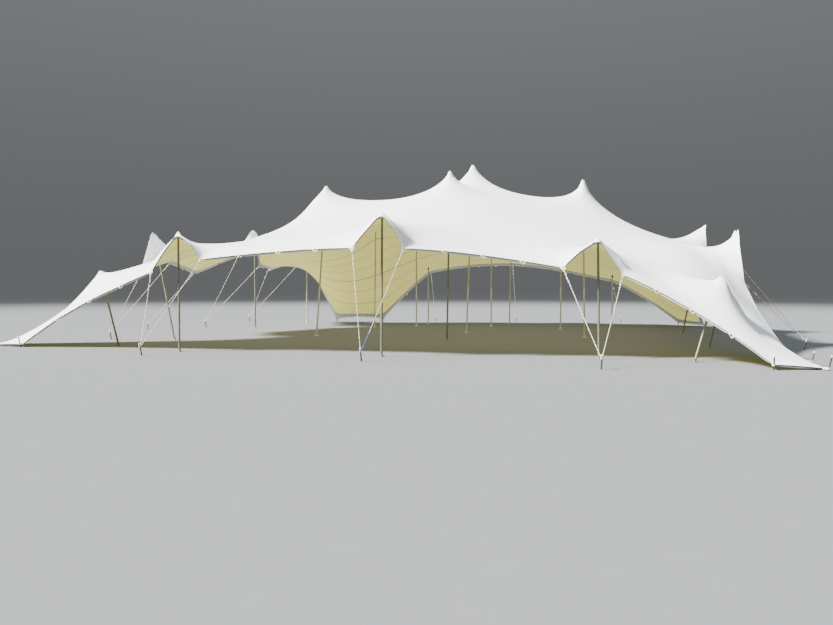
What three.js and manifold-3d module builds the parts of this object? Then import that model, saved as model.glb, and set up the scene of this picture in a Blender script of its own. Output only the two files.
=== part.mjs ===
// Stretch tent: one elastic sheet held up by poles and pulled down by rope guys to steel stakes.
// Millimetres, +Z up. +X runs along the open front from left to right, +Y runs from the front to the back.
// Places below are measured from the foot of the middle front pole; the whole tent is then moved so that
// its origin is on the ground under the middle of its box.
import * as THREE from 'three';
import { mergeVertices } from 'three/addons/utils/BufferGeometryUtils.js';
import Module from 'manifold-3d';

const wasm = await Module();
wasm.setup();

// Sheet. Its hem has a tie loop every LOOP_PITCH, counted from the front left corner.
const LOOP_PITCH = 833;
const LOOPS_WIDE = 24;
const LOOPS_DEEP = 18;
const FORM_STEPS = 4;
const SOLID_STEPS = 2;
const SHEET_THICK = 12;
const STRIP_BREAKS = [0, 3.5, 7.5, 10, 12.5, 16, 18];
const SEAM_TRIM = 0.2;
const GAP = 0.3;

// Form finding: how much harder the hem pulls than the sheet, in plan and for its heights
const HEM_PULL = 30;
const HEM_LIFT = 40;
// How far the cone over a pole spreads, in loop pitches, and how fast it stiffens towards the tip
const CONE_REACH = 1.5;
const CONE_POWER = 1.12;
const CONE_CORE = 0.12;
// How far a pole's tip drags the sheet along with it, in loop pitches
const SHIFT_SPREAD = 1.2;
const START_HEIGHT = 2500;
const MAX_ROUNDS = 4000;
const SMALL_ERROR = 1e-20;

// Poles
const POLE_R = 25;
const POLE_SIDES = 8;
const FOOT_R = 80;
const PLATE_SIDES = 12;
const FOOT_THICK = 10;
const COLLAR_R = 34;
const COLLAR_H = 70;
const TUBE_START = 15;
const COVER_RISE = 600;

// Stakes, ropes and the webbing tabs they pull on. A stake leans by STAKE_LEAN for each unit of height.
const STAKE_R = 16;
const STAKE_SIDES = 8;
const STAKE_LENGTH = 290;
const STAKE_LEAN = 0.22;
const STAKE_BELOW = 100;
const STAKE_CAP_R = 21;
const STAKE_CAP_H = 30;
const ROPE_R = 7;
const ROPE_SIDES = 6;
const KNOT_R = 15;
const KNOT_SIDES = 8;
const RING_HEIGHT = 215;
const RING_SIDES = 12;
const RING_R = (STAKE_R + ROPE_R + GAP) / Math.cos(Math.PI / RING_SIDES);
const TAB_LENGTH = 60;
const TAB_WIDTH = 40;
const TAB_THICK = 5;
const TAB_INSET = 15;

// name, loop [across, back], foot [x, y], top [x, y, z], width of the cone it raises
const POLES = [
  ['front_left_pole', [6, 0.5], [-5010, 330], [-5050, 400, 2830], 0.4],
  ['front_centre_pole', [12, 0.5], [0, 0], [20, 0, 3170], 0.86],
  ['front_right_pole', [18, 0.5], [4680, 290], [4640, 400, 2580], 0.74],
  ['left_corner_pole', [2, 2], [-7480, 1740], [-8030, 1800, 1940], 0.43],
  ['right_corner_pole', [22, 1.5], [6590, 130], [7120, 500, 1750], 0.33],
  ['left_side_front_pole', [0, 6], [-7150, 4050], [-7900, 4300, 3100], 0.3],
  ['left_side_rear_pole', [0, 12], [-7280, 10200], [-7330, 10300, 3550], 0.7],
  ['right_side_front_pole', [24, 6], [7480, 4200], [8140, 4500, 2970], 0.32],
  ['right_side_rear_pole', [24, 12], [7500, 9800], [8190, 10200, 3500], 1.39],
  ['left_main_pole', [8, 8.5], [-3700, 6500], [-3400, 6600, 4630], 0.5],
  ['front_main_pole', [13, 6.5], [550, 5500], [630, 5500, 4820], 0.36],
  ['centre_main_pole', [13.5, 10.5], [640, 8840], [850, 8800, 5480], 0.71],
  ['right_main_pole', [18, 9], [4410, 7300], [4330, 7300, 4690], 0.31],
  ['rear_left_pole', [7.5, 14], [-3150, 11500], [-3100, 11500, 3730], 0.2],
  ['rear_mid_left_pole', [9, 15], [-1800, 12600], [-1800, 12600, 3460], 0.2],
  ['rear_mid_right_pole', [13.5, 15.5], [1000, 12900], [1000, 12900, 3450], 0.2],
  ['rear_right_pole', [17, 14], [3600, 11600], [3600, 11600, 3600], 0.2],
  ['back_left_pole', [2.5, 17.5], [-6900, 14700], [-6900, 14700, 2750], 0.22],
  ['back_mid_left_pole', [9, 17.5], [-1760, 14800], [-1760, 14800, 2300], 0.21],
  ['back_mid_right_pole', [14, 17.5], [1500, 15000], [1550, 15000, 2600], 0.23],
  ['back_right_pole', [19, 17.5], [5480, 14800], [5480, 14800, 1950], 0.26],
];

// Rope guys: name, stake foot [x, y], then each tie it holds as [loop across, loop back, x, y, z]
const GUYS = [
  ['front_left', [-5330, -790], [[5, 0, -5590, 100, 1880], [7, 0, -4320, 100, 2170]]],
  ['front_centre', [-140, -1140], [[11, 0, -580, -300, 2380], [13, 0, 570, -300, 2360]]],
  ['front_right', [4680, -1730], [[17, 0, 3920, 0, 1940], [19, 0, 5140, 0, 1790]]],
  ['left_side_front', [-9000, 3800], [[0, 5, -7720, 3200, 1830], [0, 7, -7960, 5300, 2230]]],
  ['left_side_middle', [-10500, 8400], [[0, 9, -8030, 6950, 1930]]],
  ['left_side_rear', [-9300, 10400], [[0, 11, -7560, 9400, 2600], [0, 13, -7560, 11200, 2250]]],
  ['right_side_front', [9630, 3900], [[24, 5, 8130, 3300, 1620], [24, 7, 8280, 5400, 2230]]],
  ['right_side_rear', [9800, 10300], [[24, 11, 8120, 9200, 2680], [24, 13, 8280, 11100, 2780]]],
  ['back_left', [-9600, 15100], [[0, 18, -8320, 14000, 2180], [2, 18, -7130, 15000, 2690]]],
  ['back_mid_left', [-1800, 16700], [[9, 18, -1730, 15200, 2090]]],
  ['back_mid_right', [1600, 17100], [[14, 18, 1590, 15500, 2370]]],
  ['back_right', [5900, 16700], [[19, 18, 5480, 15200, 1720]]],
];

// Hem loops held straight to a stake at the ground: name, loop, place, direction of the pull
const ANCHORS = [
  ['left_corner_stake', [0, 0], [-10600, 900, 40], [-1, -0.15]],
  ['left_front_stake', [1, 0], [-9600, 800, 80], [-0.2, -1]],
  ['right_corner_stake', [24, 0], [8730, -1050, 40], [0.8, -0.6]],
  ['right_front_stake', [23, 0], [7810, -1200, 100], [-0.1, -1]],
  ['right_flank_stake', [24, 1], [8660, -200, 80], [1, 0.1]],
  ['back_wall_left_stake', [4, 18], [-5720, 15100, 130], [-0.2, 1]],
  ['back_wall_right_stake', [7, 18], [-3750, 15200, 150], [0.2, 1]],
  ['right_back_corner_stake', [24, 18], [8900, 15000, 40], [0.8, 0.6]],
  ['right_back_stake', [23, 18], [8000, 15300, 100], [0.1, 1]],
];

// Hem places held by the fabric's own pull on their neighbours: the beaks over the front poles, and the tails
const FREE_HOLDS = [
  [[5.5, 0], [-5230, 80, 2350]],
  [[6, 0], [-4880, 50, 2690]],
  [[6.5, 0], [-4570, 80, 2490]],
  [[11.5, 0], [-230, -330, 2760]],
  [[12, 0], [70, -350, 3020]],
  [[12.5, 0], [370, -330, 2730]],
  [[17.5, 0], [4270, 30, 2250]],
  [[18, 0], [4640, 50, 2460]],
  [[18.5, 0], [4880, 30, 2150]],
  [[2, 0], [-8550, 750, 730]],
  [[3, 0], [-7550, 600, 1200]],
  [[0, 1], [-10400, 1900, 80]],
  [[0, 3], [-9010, 2560, 1150]],
  [[24, 2], [8520, 750, 200]],
  [[24, 3], [8400, 1500, 530]],
  [[24, 4], [8270, 2380, 970]],
];

// Where the cut of the cloth lies higher or lower than an even net: loop, height, spread in loop pitches
const LIFTS = [
  [[1.4, 1.4], -210, 0.7],
  [[3.4, 2.4], 140, 1],
  [[23, 1.7], -260, 0.8],
  [[6.6, 8.2], 140, 1],
  [[21.6, 4.2], 300, 1.2],
  [[21.2, 1.4], 130, 0.6],
];

// The axis that three.js gives its cylinders, lathes and balls
const UP_AXIS = new THREE.Vector3(0, 1, 0);

function vec(p) {
  return new THREE.Vector3(p[0], p[1], p[2] ?? 0);
}

function makeMaterials() {
  const make = (color, roughness, metalness) => (
    new THREE.MeshStandardMaterial({ color, roughness, metalness })
  );
  return {
    fabric: make(0xf3f2ea, 0.7, 0),
    pole: make(0x8f9086, 0.4, 0.8),
    stake: make(0x4a4844, 0.6, 0.7),
    rope: make(0xeceadf, 0.8, 0),
  };
}

// A three.js geometry as a manifold solid, and back
function toSolid(geometry) {
  const bare = geometry.clone();
  bare.deleteAttribute('normal');
  bare.deleteAttribute('uv');
  const merged = mergeVertices(bare, 1e-3);
  return new wasm.Manifold(new wasm.Mesh({
    numProp: 3,
    vertProperties: new Float32Array(merged.attributes.position.array),
    triVerts: new Uint32Array(merged.index.array),
  }));
}

function toGeometry(solid) {
  const mesh = solid.getMesh();
  const geometry = new THREE.BufferGeometry();
  geometry.setAttribute('position', new THREE.BufferAttribute(new Float32Array(mesh.vertProperties), 3));
  geometry.setIndex(new THREE.BufferAttribute(new Uint32Array(mesh.triVerts), 1));
  geometry.computeVertexNormals();
  return geometry;
}

// A round bar between two points
function bar(from, to, radius, sides) {
  const along = to.clone().sub(from);
  const geometry = new THREE.CylinderGeometry(radius, radius, along.length(), sides, 1);
  geometry.applyQuaternion(new THREE.Quaternion().setFromUnitVectors(UP_AXIS, along.normalize()));
  geometry.translate((from.x + to.x) / 2, (from.y + to.y) / 2, (from.z + to.z) / 2);
  return toSolid(geometry);
}

// A ball with one of its points facing along an axis
function ball(centre, radius, axis) {
  const geometry = new THREE.SphereGeometry(radius, KNOT_SIDES, KNOT_SIDES / 2);
  geometry.applyQuaternion(new THREE.Quaternion().setFromUnitVectors(UP_AXIS, axis));
  geometry.translate(centre.x, centre.y, centre.z);
  return toSolid(geometry);
}

// A round bar whose far end is a dome
function domedBar(from, to, radius, sides) {
  const along = to.clone().sub(from);
  const length = along.length();
  const profile = [new THREE.Vector2(0, 0), new THREE.Vector2(radius, 0)];
  for (const degrees of [0, 30, 60, 90]) {
    const angle = THREE.MathUtils.degToRad(degrees);
    const across = degrees === 90 ? 0 : radius * Math.cos(angle);
    profile.push(new THREE.Vector2(across, length + radius * (Math.sin(angle) - 1)));
  }
  const geometry = new THREE.LatheGeometry(profile, sides);
  geometry.applyQuaternion(new THREE.Quaternion().setFromUnitVectors(UP_AXIS, along.normalize()));
  geometry.translate(from.x, from.y, from.z);
  return toSolid(geometry);
}

function union(solids) {
  return solids.reduce((whole, solid) => whole.add(solid));
}

// Conjugate gradients for one coordinate of the sheet: links carry pull, and held nodes stay
function relax(links, held, start) {
  const value = Float64Array.from(start);
  const apply = (input, output) => {
    output.fill(0);
    for (const [a, b, pull] of links) {
      const force = pull * (input[a] - input[b]);
      output[a] += force;
      output[b] -= force;
    }
    for (const node of held) output[node] = 0;
  };
  const residual = new Float64Array(value.length);
  apply(value, residual);
  for (let i = 0; i < residual.length; i += 1) residual[i] = -residual[i];
  const step = Float64Array.from(residual);
  const push = new Float64Array(value.length);
  const dot = (p, q) => p.reduce((sum, x, i) => sum + x * q[i], 0);
  let size = dot(residual, residual);
  const small = size * SMALL_ERROR;
  for (let round = 0; round < MAX_ROUNDS && size > small; round += 1) {
    apply(step, push);
    const rate = size / dot(step, push);
    for (let i = 0; i < value.length; i += 1) {
      value[i] += rate * step[i];
      residual[i] -= rate * push[i];
    }
    const next = dot(residual, residual);
    const keep = next / size;
    for (let i = 0; i < value.length; i += 1) step[i] = residual[i] + keep * step[i];
    size = next;
  }
  return value;
}

// Gauss elimination: the unknowns of a small square system with two right-hand sides
function solveSmall(matrix, sides) {
  const rows = matrix.map((row, i) => [...row, ...sides[i]]);
  const size = rows.length;
  for (let column = 0; column < size; column += 1) {
    let best = column;
    for (let i = column + 1; i < size; i += 1) {
      if (Math.abs(rows[i][column]) > Math.abs(rows[best][column])) best = i;
    }
    [rows[column], rows[best]] = [rows[best], rows[column]];
    for (let i = 0; i < size; i += 1) {
      const factor = i === column ? 0 : rows[i][column] / rows[column][column];
      for (let k = column; k < size + 2; k += 1) rows[i][k] -= factor * rows[column][k];
    }
  }
  return rows.map((row, i) => [row[size] / row[i], row[size + 1] / row[i]]);
}

// How much a place on the sheet moves along with another one; nothing moves at the hem
function shiftShare(across, back, loop, spread = SHIFT_SPREAD) {
  const away = Math.hypot(across - loop[0], back - loop[1]) / spread;
  const fromHem = Math.min(1, across, LOOPS_WIDE - across, back, LOOPS_DEEP - back);
  return fromHem * Math.exp((-away * away) / 2);
}

function liftAt(across, back) {
  return LIFTS.reduce((sum, [loop, height, spread]) => (
    sum + height * shiftShare(across, back, loop, spread)
  ), 0);
}

// The sheet's form. Its plan comes from an even net held at the hem, then pulled over to the tips of the
// inner poles; its heights come from a net that is stiffer round each pole.
function findForm() {
  const wide = LOOPS_WIDE * FORM_STEPS;
  const deep = LOOPS_DEEP * FORM_STEPS;
  const at = (i, j) => j * (wide + 1) + i;
  const nodeOf = (loop) => at(Math.round(loop[0] * FORM_STEPS), Math.round(loop[1] * FORM_STEPS));
  const conePull = (across, back) => POLES.reduce((sum, [, loop, , , cone]) => {
    const away = Math.max(Math.hypot(across - loop[0], back - loop[1]), CONE_CORE);
    return sum + (cone * CONE_REACH / away) ** CONE_POWER;
  }, 1);
  const planLinks = [];
  const heightLinks = [];
  const link = (i, j, di, dj, isHem) => {
    const cone = conePull((i + di / 2) / FORM_STEPS, (j + dj / 2) / FORM_STEPS);
    planLinks.push([at(i, j), at(i + di, j + dj), isHem ? HEM_PULL : 1]);
    heightLinks.push([at(i, j), at(i + di, j + dj), isHem ? HEM_LIFT * cone : cone]);
  };
  const x = new Float64Array((wide + 1) * (deep + 1));
  const y = new Float64Array(x.length);
  const z = new Float64Array(x.length).fill(START_HEIGHT);
  for (let j = 0; j <= deep; j += 1) {
    for (let i = 0; i <= wide; i += 1) {
      if (i < wide) link(i, j, 1, 0, j === 0 || j === deep);
      if (j < deep) link(i, j, 0, 1, i === 0 || i === wide);
      x[at(i, j)] = (i / FORM_STEPS - LOOPS_WIDE / 2) * LOOP_PITCH;
      y[at(i, j)] = (j / FORM_STEPS) * LOOP_PITCH;
    }
  }
  const tips = POLES.map(([, loop, , top]) => [loop, top]);
  const isInner = ([[across, back]]) => shiftShare(across, back, [across, back]) > 0;
  const hemPlaces = [
    ...tips.filter((tip) => !isInner(tip)),
    ...GUYS.flatMap(([, , ties]) => ties.map(([across, back, ...place]) => [[across, back], place])),
    ...ANCHORS.map(([, loop, place]) => [loop, place]),
    ...FREE_HOLDS,
  ];
  for (const [loop, place] of hemPlaces) {
    x[nodeOf(loop)] = place[0];
    y[nodeOf(loop)] = place[1];
    z[nodeOf(loop)] = place[2];
  }
  const hemHeld = hemPlaces.map(([loop]) => nodeOf(loop));
  const planX = relax(planLinks, hemHeld, x);
  const planY = relax(planLinks, hemHeld, y);

  const inner = tips.filter(isInner);
  const matrix = inner.map(([loop]) => inner.map(([other]) => shiftShare(loop[0], loop[1], other)));
  const missing = inner.map(([loop, top]) => [top[0] - planX[nodeOf(loop)], top[1] - planY[nodeOf(loop)]]);
  const shifts = solveSmall(matrix, missing);
  for (let j = 0; j <= deep; j += 1) {
    for (let i = 0; i <= wide; i += 1) {
      inner.forEach(([loop], k) => {
        const share = shiftShare(i / FORM_STEPS, j / FORM_STEPS, loop);
        planX[at(i, j)] += share * shifts[k][0];
        planY[at(i, j)] += share * shifts[k][1];
      });
    }
  }

  for (const [loop, top] of inner) z[nodeOf(loop)] = top[2] - liftAt(loop[0], loop[1]);
  const heights = relax(heightLinks, [...hemHeld, ...inner.map(([loop]) => nodeOf(loop))], z);
  return (across, back) => {
    const node = nodeOf([across, back]);
    return new THREE.Vector3(planX[node], planY[node], heights[node] + liftAt(across, back));
  };
}

// Underside points and upward normals on the solid's coarser net
function sampleSheet(form) {
  const wide = LOOPS_WIDE * SOLID_STEPS;
  const deep = LOOPS_DEEP * SOLID_STEPS;
  const under = [];
  for (let j = 0; j <= deep; j += 1) {
    under.push([]);
    for (let i = 0; i <= wide; i += 1) under[j].push(form(i / SOLID_STEPS, j / SOLID_STEPS));
  }
  const normals = under.map((row, j) => row.map((_, i) => {
    const across = row[Math.min(i + 1, wide)].clone().sub(row[Math.max(i - 1, 0)]);
    const back = under[Math.min(j + 1, deep)][i].clone().sub(under[Math.max(j - 1, 0)][i]);
    return across.cross(back).normalize();
  }));
  return { wide, deep, under, normals };
}

// A closed slab over the net's rows from first to last. Its top is raised by raise(normal), and an end that
// isn't the hem is cut back by trim.
function slab(sheet, first, last, raise, trim) {
  const rows = last - first + 1;
  const columns = sheet.wide + 1;
  const points = [];
  const shifted = (i, j) => {
    const point = sheet.under[j][i].clone();
    let inward = j;
    if (j === first && first > 0) inward = j + 1;
    if (j === last && last < sheet.deep) inward = j - 1;
    if (inward !== j) point.add(sheet.under[inward][i].clone().sub(point).setLength(trim));
    return point;
  };
  for (const level of [0, 1]) {
    for (let j = first; j <= last; j += 1) {
      for (let i = 0; i < columns; i += 1) {
        const point = shifted(i, j);
        if (level) point.add(raise(sheet.normals[j][i]));
        points.push(point.x, point.y, point.z);
      }
    }
  }
  const at = (level, i, j) => level * rows * columns + j * columns + i;
  const faces = [];
  for (let j = 0; j < rows - 1; j += 1) {
    for (let i = 0; i < columns - 1; i += 1) {
      faces.push(at(1, i, j), at(1, i + 1, j), at(1, i + 1, j + 1));
      faces.push(at(1, i, j), at(1, i + 1, j + 1), at(1, i, j + 1));
      faces.push(at(0, i, j), at(0, i + 1, j + 1), at(0, i + 1, j));
      faces.push(at(0, i, j), at(0, i, j + 1), at(0, i + 1, j + 1));
    }
  }
  const wall = (ai, aj, bi, bj) => {
    faces.push(at(0, ai, aj), at(0, bi, bj), at(1, bi, bj));
    faces.push(at(0, ai, aj), at(1, bi, bj), at(1, ai, aj));
  };
  // Rims that meet at a seam are split along the same diagonals, so that they stay parallel
  for (let i = 0; i < columns - 1; i += 1) {
    wall(i, 0, i + 1, 0);
    faces.push(at(0, i, rows - 1), at(1, i + 1, rows - 1), at(0, i + 1, rows - 1));
    faces.push(at(0, i, rows - 1), at(1, i, rows - 1), at(1, i + 1, rows - 1));
  }
  for (let j = 0; j < rows - 1; j += 1) {
    wall(columns - 1, j, columns - 1, j + 1);
    wall(0, j + 1, 0, j);
  }
  const geometry = new THREE.BufferGeometry();
  geometry.setAttribute('position', new THREE.BufferAttribute(new Float32Array(points), 3));
  geometry.setIndex(faces);
  return toSolid(geometry);
}

// A stake leans away from the tent; every one is cut flat at the ground
function stakeAxis(pull) {
  const lean = new THREE.Vector3(pull.x, pull.y, 0).setLength(STAKE_LEAN);
  return lean.setZ(1).normalize();
}

function stakeSolid(foot, axis, radius, capped) {
  const from = foot.clone().addScaledVector(axis, -STAKE_BELOW);
  const top = foot.clone().addScaledVector(axis, STAKE_LENGTH);
  const parts = [bar(from, top, radius, STAKE_SIDES)];
  const capStart = top.clone().addScaledVector(axis, -STAKE_CAP_H);
  if (capped) parts.push(bar(capStart, top, STAKE_CAP_R, STAKE_SIDES));
  const below = new THREE.BoxGeometry(2 * STAKE_BELOW, 2 * STAKE_BELOW, 2 * STAKE_BELOW);
  below.translate(foot.x, foot.y, -STAKE_BELOW);
  return union(parts).subtract(toSolid(below));
}

// A rope from one tab to the ring round the stake
function ropeLeg(tabEnd, pull, ringCentre, axis) {
  const knot = tabEnd.clone().addScaledVector(pull, KNOT_R + GAP);
  const outward = knot.clone().sub(ringCentre);
  outward.addScaledVector(axis, -outward.dot(axis)).setLength(RING_R);
  return [ball(knot, KNOT_R, pull), bar(knot, ringCentre.clone().add(outward), ROPE_R, ROPE_SIDES)];
}

function ringSolid(centre, axis) {
  const geometry = new THREE.TorusGeometry(RING_R, ROPE_R, ROPE_SIDES, RING_SIDES);
  geometry.applyQuaternion(new THREE.Quaternion().setFromUnitVectors(new THREE.Vector3(0, 0, 1), axis));
  geometry.translate(centre.x, centre.y, centre.z);
  return toSolid(geometry);
}

// A flat webbing tab from inside the hem to its free end
function tabSolid(root, end) {
  const along = end.clone().sub(root);
  const side = new THREE.Vector3(0, 0, 1).cross(along).normalize();
  const face = along.clone().normalize().cross(side);
  const geometry = new THREE.BoxGeometry(along.length(), TAB_WIDTH, TAB_THICK);
  geometry.applyMatrix4(new THREE.Matrix4().makeBasis(along.clone().normalize(), side, face));
  geometry.translate((root.x + end.x) / 2, (root.y + end.y) / 2, (root.z + end.z) / 2);
  return toSolid(geometry);
}

function tabRoot(sheet, loop) {
  const i = Math.round(loop[0] * SOLID_STEPS);
  const j = Math.round(loop[1] * SOLID_STEPS);
  const inwardRow = sheet.under[THREE.MathUtils.clamp(j, 1, sheet.deep - 1)];
  const inward = inwardRow[THREE.MathUtils.clamp(i, 1, sheet.wide - 1)];
  const root = sheet.under[j][i].clone();
  root.add(inward.clone().sub(root).setLength(TAB_INSET));
  return root.addScaledVector(sheet.normals[j][i], SHEET_THICK / 2);
}

function poleSolid(foot, top, cover) {
  const plate = bar(foot, foot.clone().setZ(FOOT_THICK), FOOT_R, PLATE_SIDES);
  const collar = bar(foot, foot.clone().setZ(COLLAR_H), COLLAR_R, POLE_SIDES);
  const tube = domedBar(foot.clone().setZ(TUBE_START), top, POLE_R, POLE_SIDES);
  return union([plate, collar, tube]).subtract(cover);
}

const materials = makeMaterials();
const tent = new THREE.Group();
const solids = [];

function keep(name, solid, material) {
  solids.push({ name, solid, material });
}

const sheet = sampleSheet(findForm());
const strips = STRIP_BREAKS.slice(1).map((end, index) => {
  const first = Math.round(STRIP_BREAKS[index] * SOLID_STEPS);
  const last = Math.round(end * SOLID_STEPS);
  const thicken = (normal) => normal.clone().multiplyScalar(SHEET_THICK);
  return { first, last, solid: slab(sheet, first, last, thicken, SEAM_TRIM) };
});
const stripAt = (back) => strips.find(({ last }) => Math.round(back * SOLID_STEPS) <= last);

// The space above the sheet's underside, let down by the gap, which trims every pole top
const liftedSheet = { ...sheet, under: sheet.under.map((row) => row.map((p) => p.clone().setZ(p.z - GAP))) };
const cover = slab(liftedSheet, 0, sheet.deep, () => new THREE.Vector3(0, 0, COVER_RISE), 0);

for (const [name, , foot, top] of POLES) {
  keep(name, poleSolid(vec(foot), vec(top), cover), materials.pole);
}

for (const [name, stakeFoot, ties] of GUYS) {
  const foot = vec(stakeFoot);
  const middle = ties.reduce((sum, [, , x, y]) => sum.add(new THREE.Vector3(x, y, 0)), new THREE.Vector3());
  middle.divideScalar(ties.length);
  const axis = stakeAxis(foot.clone().sub(middle));
  const ringCentre = foot.clone().addScaledVector(axis, RING_HEIGHT);
  let rope = ringSolid(ringCentre, axis);
  for (const [across, back, ...place] of ties) {
    const tie = vec(place);
    const pull = ringCentre.clone().sub(tie).normalize();
    const tabEnd = tie.clone().addScaledVector(pull, TAB_LENGTH);
    const strip = stripAt(back);
    strip.solid = strip.solid.add(tabSolid(tabRoot(sheet, [across, back]), tabEnd));
    rope = union([rope, ...ropeLeg(tabEnd, pull, ringCentre, axis)]);
  }
  keep(`${name}_guy_rope`, rope, materials.rope);
  keep(`${name}_stake`, stakeSolid(foot, axis, STAKE_R, true), materials.stake);
}

for (const [name, loop, place, direction] of ANCHORS) {
  const pull = vec(direction).normalize();
  const tie = vec(place);
  const axis = stakeAxis(pull);
  const held = tie.clone().addScaledVector(pull, TAB_LENGTH + STAKE_R);
  const foot = held.clone().addScaledVector(axis, -held.z / axis.z);
  const strip = stripAt(loop[1]);
  const tabbed = strip.solid.add(tabSolid(tabRoot(sheet, loop), held));
  strip.solid = tabbed.subtract(stakeSolid(foot, axis, STAKE_R + GAP, false));
  keep(name, stakeSolid(foot, axis, STAKE_R, true), materials.stake);
}

strips.forEach(({ solid }, index) => keep(`canopy_strip_${index + 1}`, solid, materials.fabric));

for (const { name, solid, material } of solids) {
  const mesh = new THREE.Mesh(toGeometry(solid), material);
  mesh.name = name;
  tent.add(mesh);
}

const box = new THREE.Box3().setFromObject(tent);
const centre = box.getCenter(new THREE.Vector3());
tent.position.set(-centre.x, -centre.y, 0);

export default tent;
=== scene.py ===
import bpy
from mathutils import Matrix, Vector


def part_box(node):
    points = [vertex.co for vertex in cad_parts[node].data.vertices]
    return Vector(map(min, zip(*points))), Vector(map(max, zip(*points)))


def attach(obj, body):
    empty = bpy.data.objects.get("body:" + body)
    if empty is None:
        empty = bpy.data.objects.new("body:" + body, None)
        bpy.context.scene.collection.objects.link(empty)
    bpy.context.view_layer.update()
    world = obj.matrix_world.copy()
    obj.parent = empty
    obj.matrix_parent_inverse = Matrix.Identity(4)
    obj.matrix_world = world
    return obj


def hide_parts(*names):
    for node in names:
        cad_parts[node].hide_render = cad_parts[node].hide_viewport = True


bl_info = {
    "name": "Stretch tent",
    "version": (1, 0, 0),
    "blender": (4, 5, 0),
    "location": "View3D > Sidebar > Stretch tent",
    "description": "Dresses a freeform stretch tent: elastic sheet, poles, rope guys and stakes",
    "category": "Add Mesh",
}

import functools
import math
from collections import namedtuple

import bpy
import numpy as np
from mathutils import Vector

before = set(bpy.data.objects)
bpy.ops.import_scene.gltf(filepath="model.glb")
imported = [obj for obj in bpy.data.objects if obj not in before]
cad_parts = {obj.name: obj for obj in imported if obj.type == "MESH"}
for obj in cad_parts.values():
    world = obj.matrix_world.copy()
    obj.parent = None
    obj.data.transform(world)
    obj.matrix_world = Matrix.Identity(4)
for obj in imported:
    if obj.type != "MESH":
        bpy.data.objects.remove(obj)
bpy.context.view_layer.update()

# Places are in metres from the foot of the middle front pole: x to the right, y to the back.
# The middle of that pole's foot plate gives the same point in the frame.
PLATE_LOW, PLATE_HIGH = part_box("front_centre_pole")
ORIGIN = Vector(((PLATE_LOW.x + PLATE_HIGH.x) / 2, (PLATE_LOW.y + PLATE_HIGH.y) / 2, 0))

# The cloth is counted in hem loops from its front left corner
LOOPS_WIDE = 24
LOOPS_DEEP = 18
# The sheet's net: steps to a loop, the height that it starts from, and how much harder its hem
# pulls than its cloth, in plan and in height
NET_STEPS = 8
START_HEIGHT = 2.5
HEM_PULL = 60
HEM_LIFT = 80
# Round a pole the net is stiffer, so that the cloth rises there in a cone; reach and core in loops
CONE_REACH = 1.5
CONE_POWER = 1.12
CONE_CORE = 0.12
# How far the cloth round a pole is drawn along with it, in loops
SHIFT_SPREAD = 1.2

# Each pole: the place in the cloth that it carries, its foot, its top and how wide its cone is
Pole = namedtuple("Pole", "loop foot top spread")
POLES = {
    "front_left_pole": Pole((6, 0.5), (-5.01, 0.33), (-5.05, 0.4, 2.83), 0.4),
    "front_centre_pole": Pole((12, 0.5), (0, 0), (0.02, 0, 3.17), 0.86),
    "front_right_pole": Pole((18, 0.5), (4.68, 0.29), (4.64, 0.4, 2.58), 0.74),
    "left_corner_pole": Pole((2, 2), (-7.48, 1.74), (-8.03, 1.8, 1.94), 0.43),
    "right_corner_pole": Pole((22, 1.5), (6.59, 0.13), (7.12, 0.5, 1.75), 0.33),
    "left_side_front_pole": Pole((0, 6), (-7.15, 4.05), (-7.9, 4.3, 3.1), 0.3),
    "left_side_rear_pole": Pole((0, 12), (-7.28, 10.2), (-7.33, 10.3, 3.55), 0.7),
    "right_side_front_pole": Pole((24, 6), (7.48, 4.2), (8.14, 4.5, 2.97), 0.32),
    "right_side_rear_pole": Pole((24, 12), (7.5, 9.8), (8.19, 10.2, 3.5), 1.39),
    "left_main_pole": Pole((8, 8.5), (-3.7, 6.5), (-3.4, 6.6, 4.63), 0.5),
    "front_main_pole": Pole((13, 6.5), (0.55, 5.5), (0.63, 5.5, 4.82), 0.36),
    "centre_main_pole": Pole((13.5, 10.5), (0.64, 8.84), (0.85, 8.8, 5.48), 0.71),
    "right_main_pole": Pole((18, 9), (4.41, 7.3), (4.33, 7.3, 4.69), 0.31),
    "rear_left_pole": Pole((7.5, 14), (-3.15, 11.5), (-3.1, 11.5, 3.73), 0.2),
    "rear_mid_left_pole": Pole((9, 15), (-1.8, 12.6), (-1.8, 12.6, 3.46), 0.2),
    "rear_mid_right_pole": Pole((13.5, 15.5), (1, 12.9), (1, 12.9, 3.45), 0.2),
    "rear_right_pole": Pole((17, 14), (3.6, 11.6), (3.6, 11.6, 3.6), 0.2),
    "back_left_pole": Pole((2.5, 17.5), (-6.9, 14.7), (-6.9, 14.7, 2.75), 0.22),
    "back_mid_left_pole": Pole((9, 17.5), (-1.76, 14.8), (-1.76, 14.8, 2.3), 0.21),
    "back_mid_right_pole": Pole((14, 17.5), (1.5, 15), (1.55, 15, 2.6), 0.23),
    "back_right_pole": Pole((19, 17.5), (5.48, 14.8), (5.48, 14.8, 1.95), 0.26),
}
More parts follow.
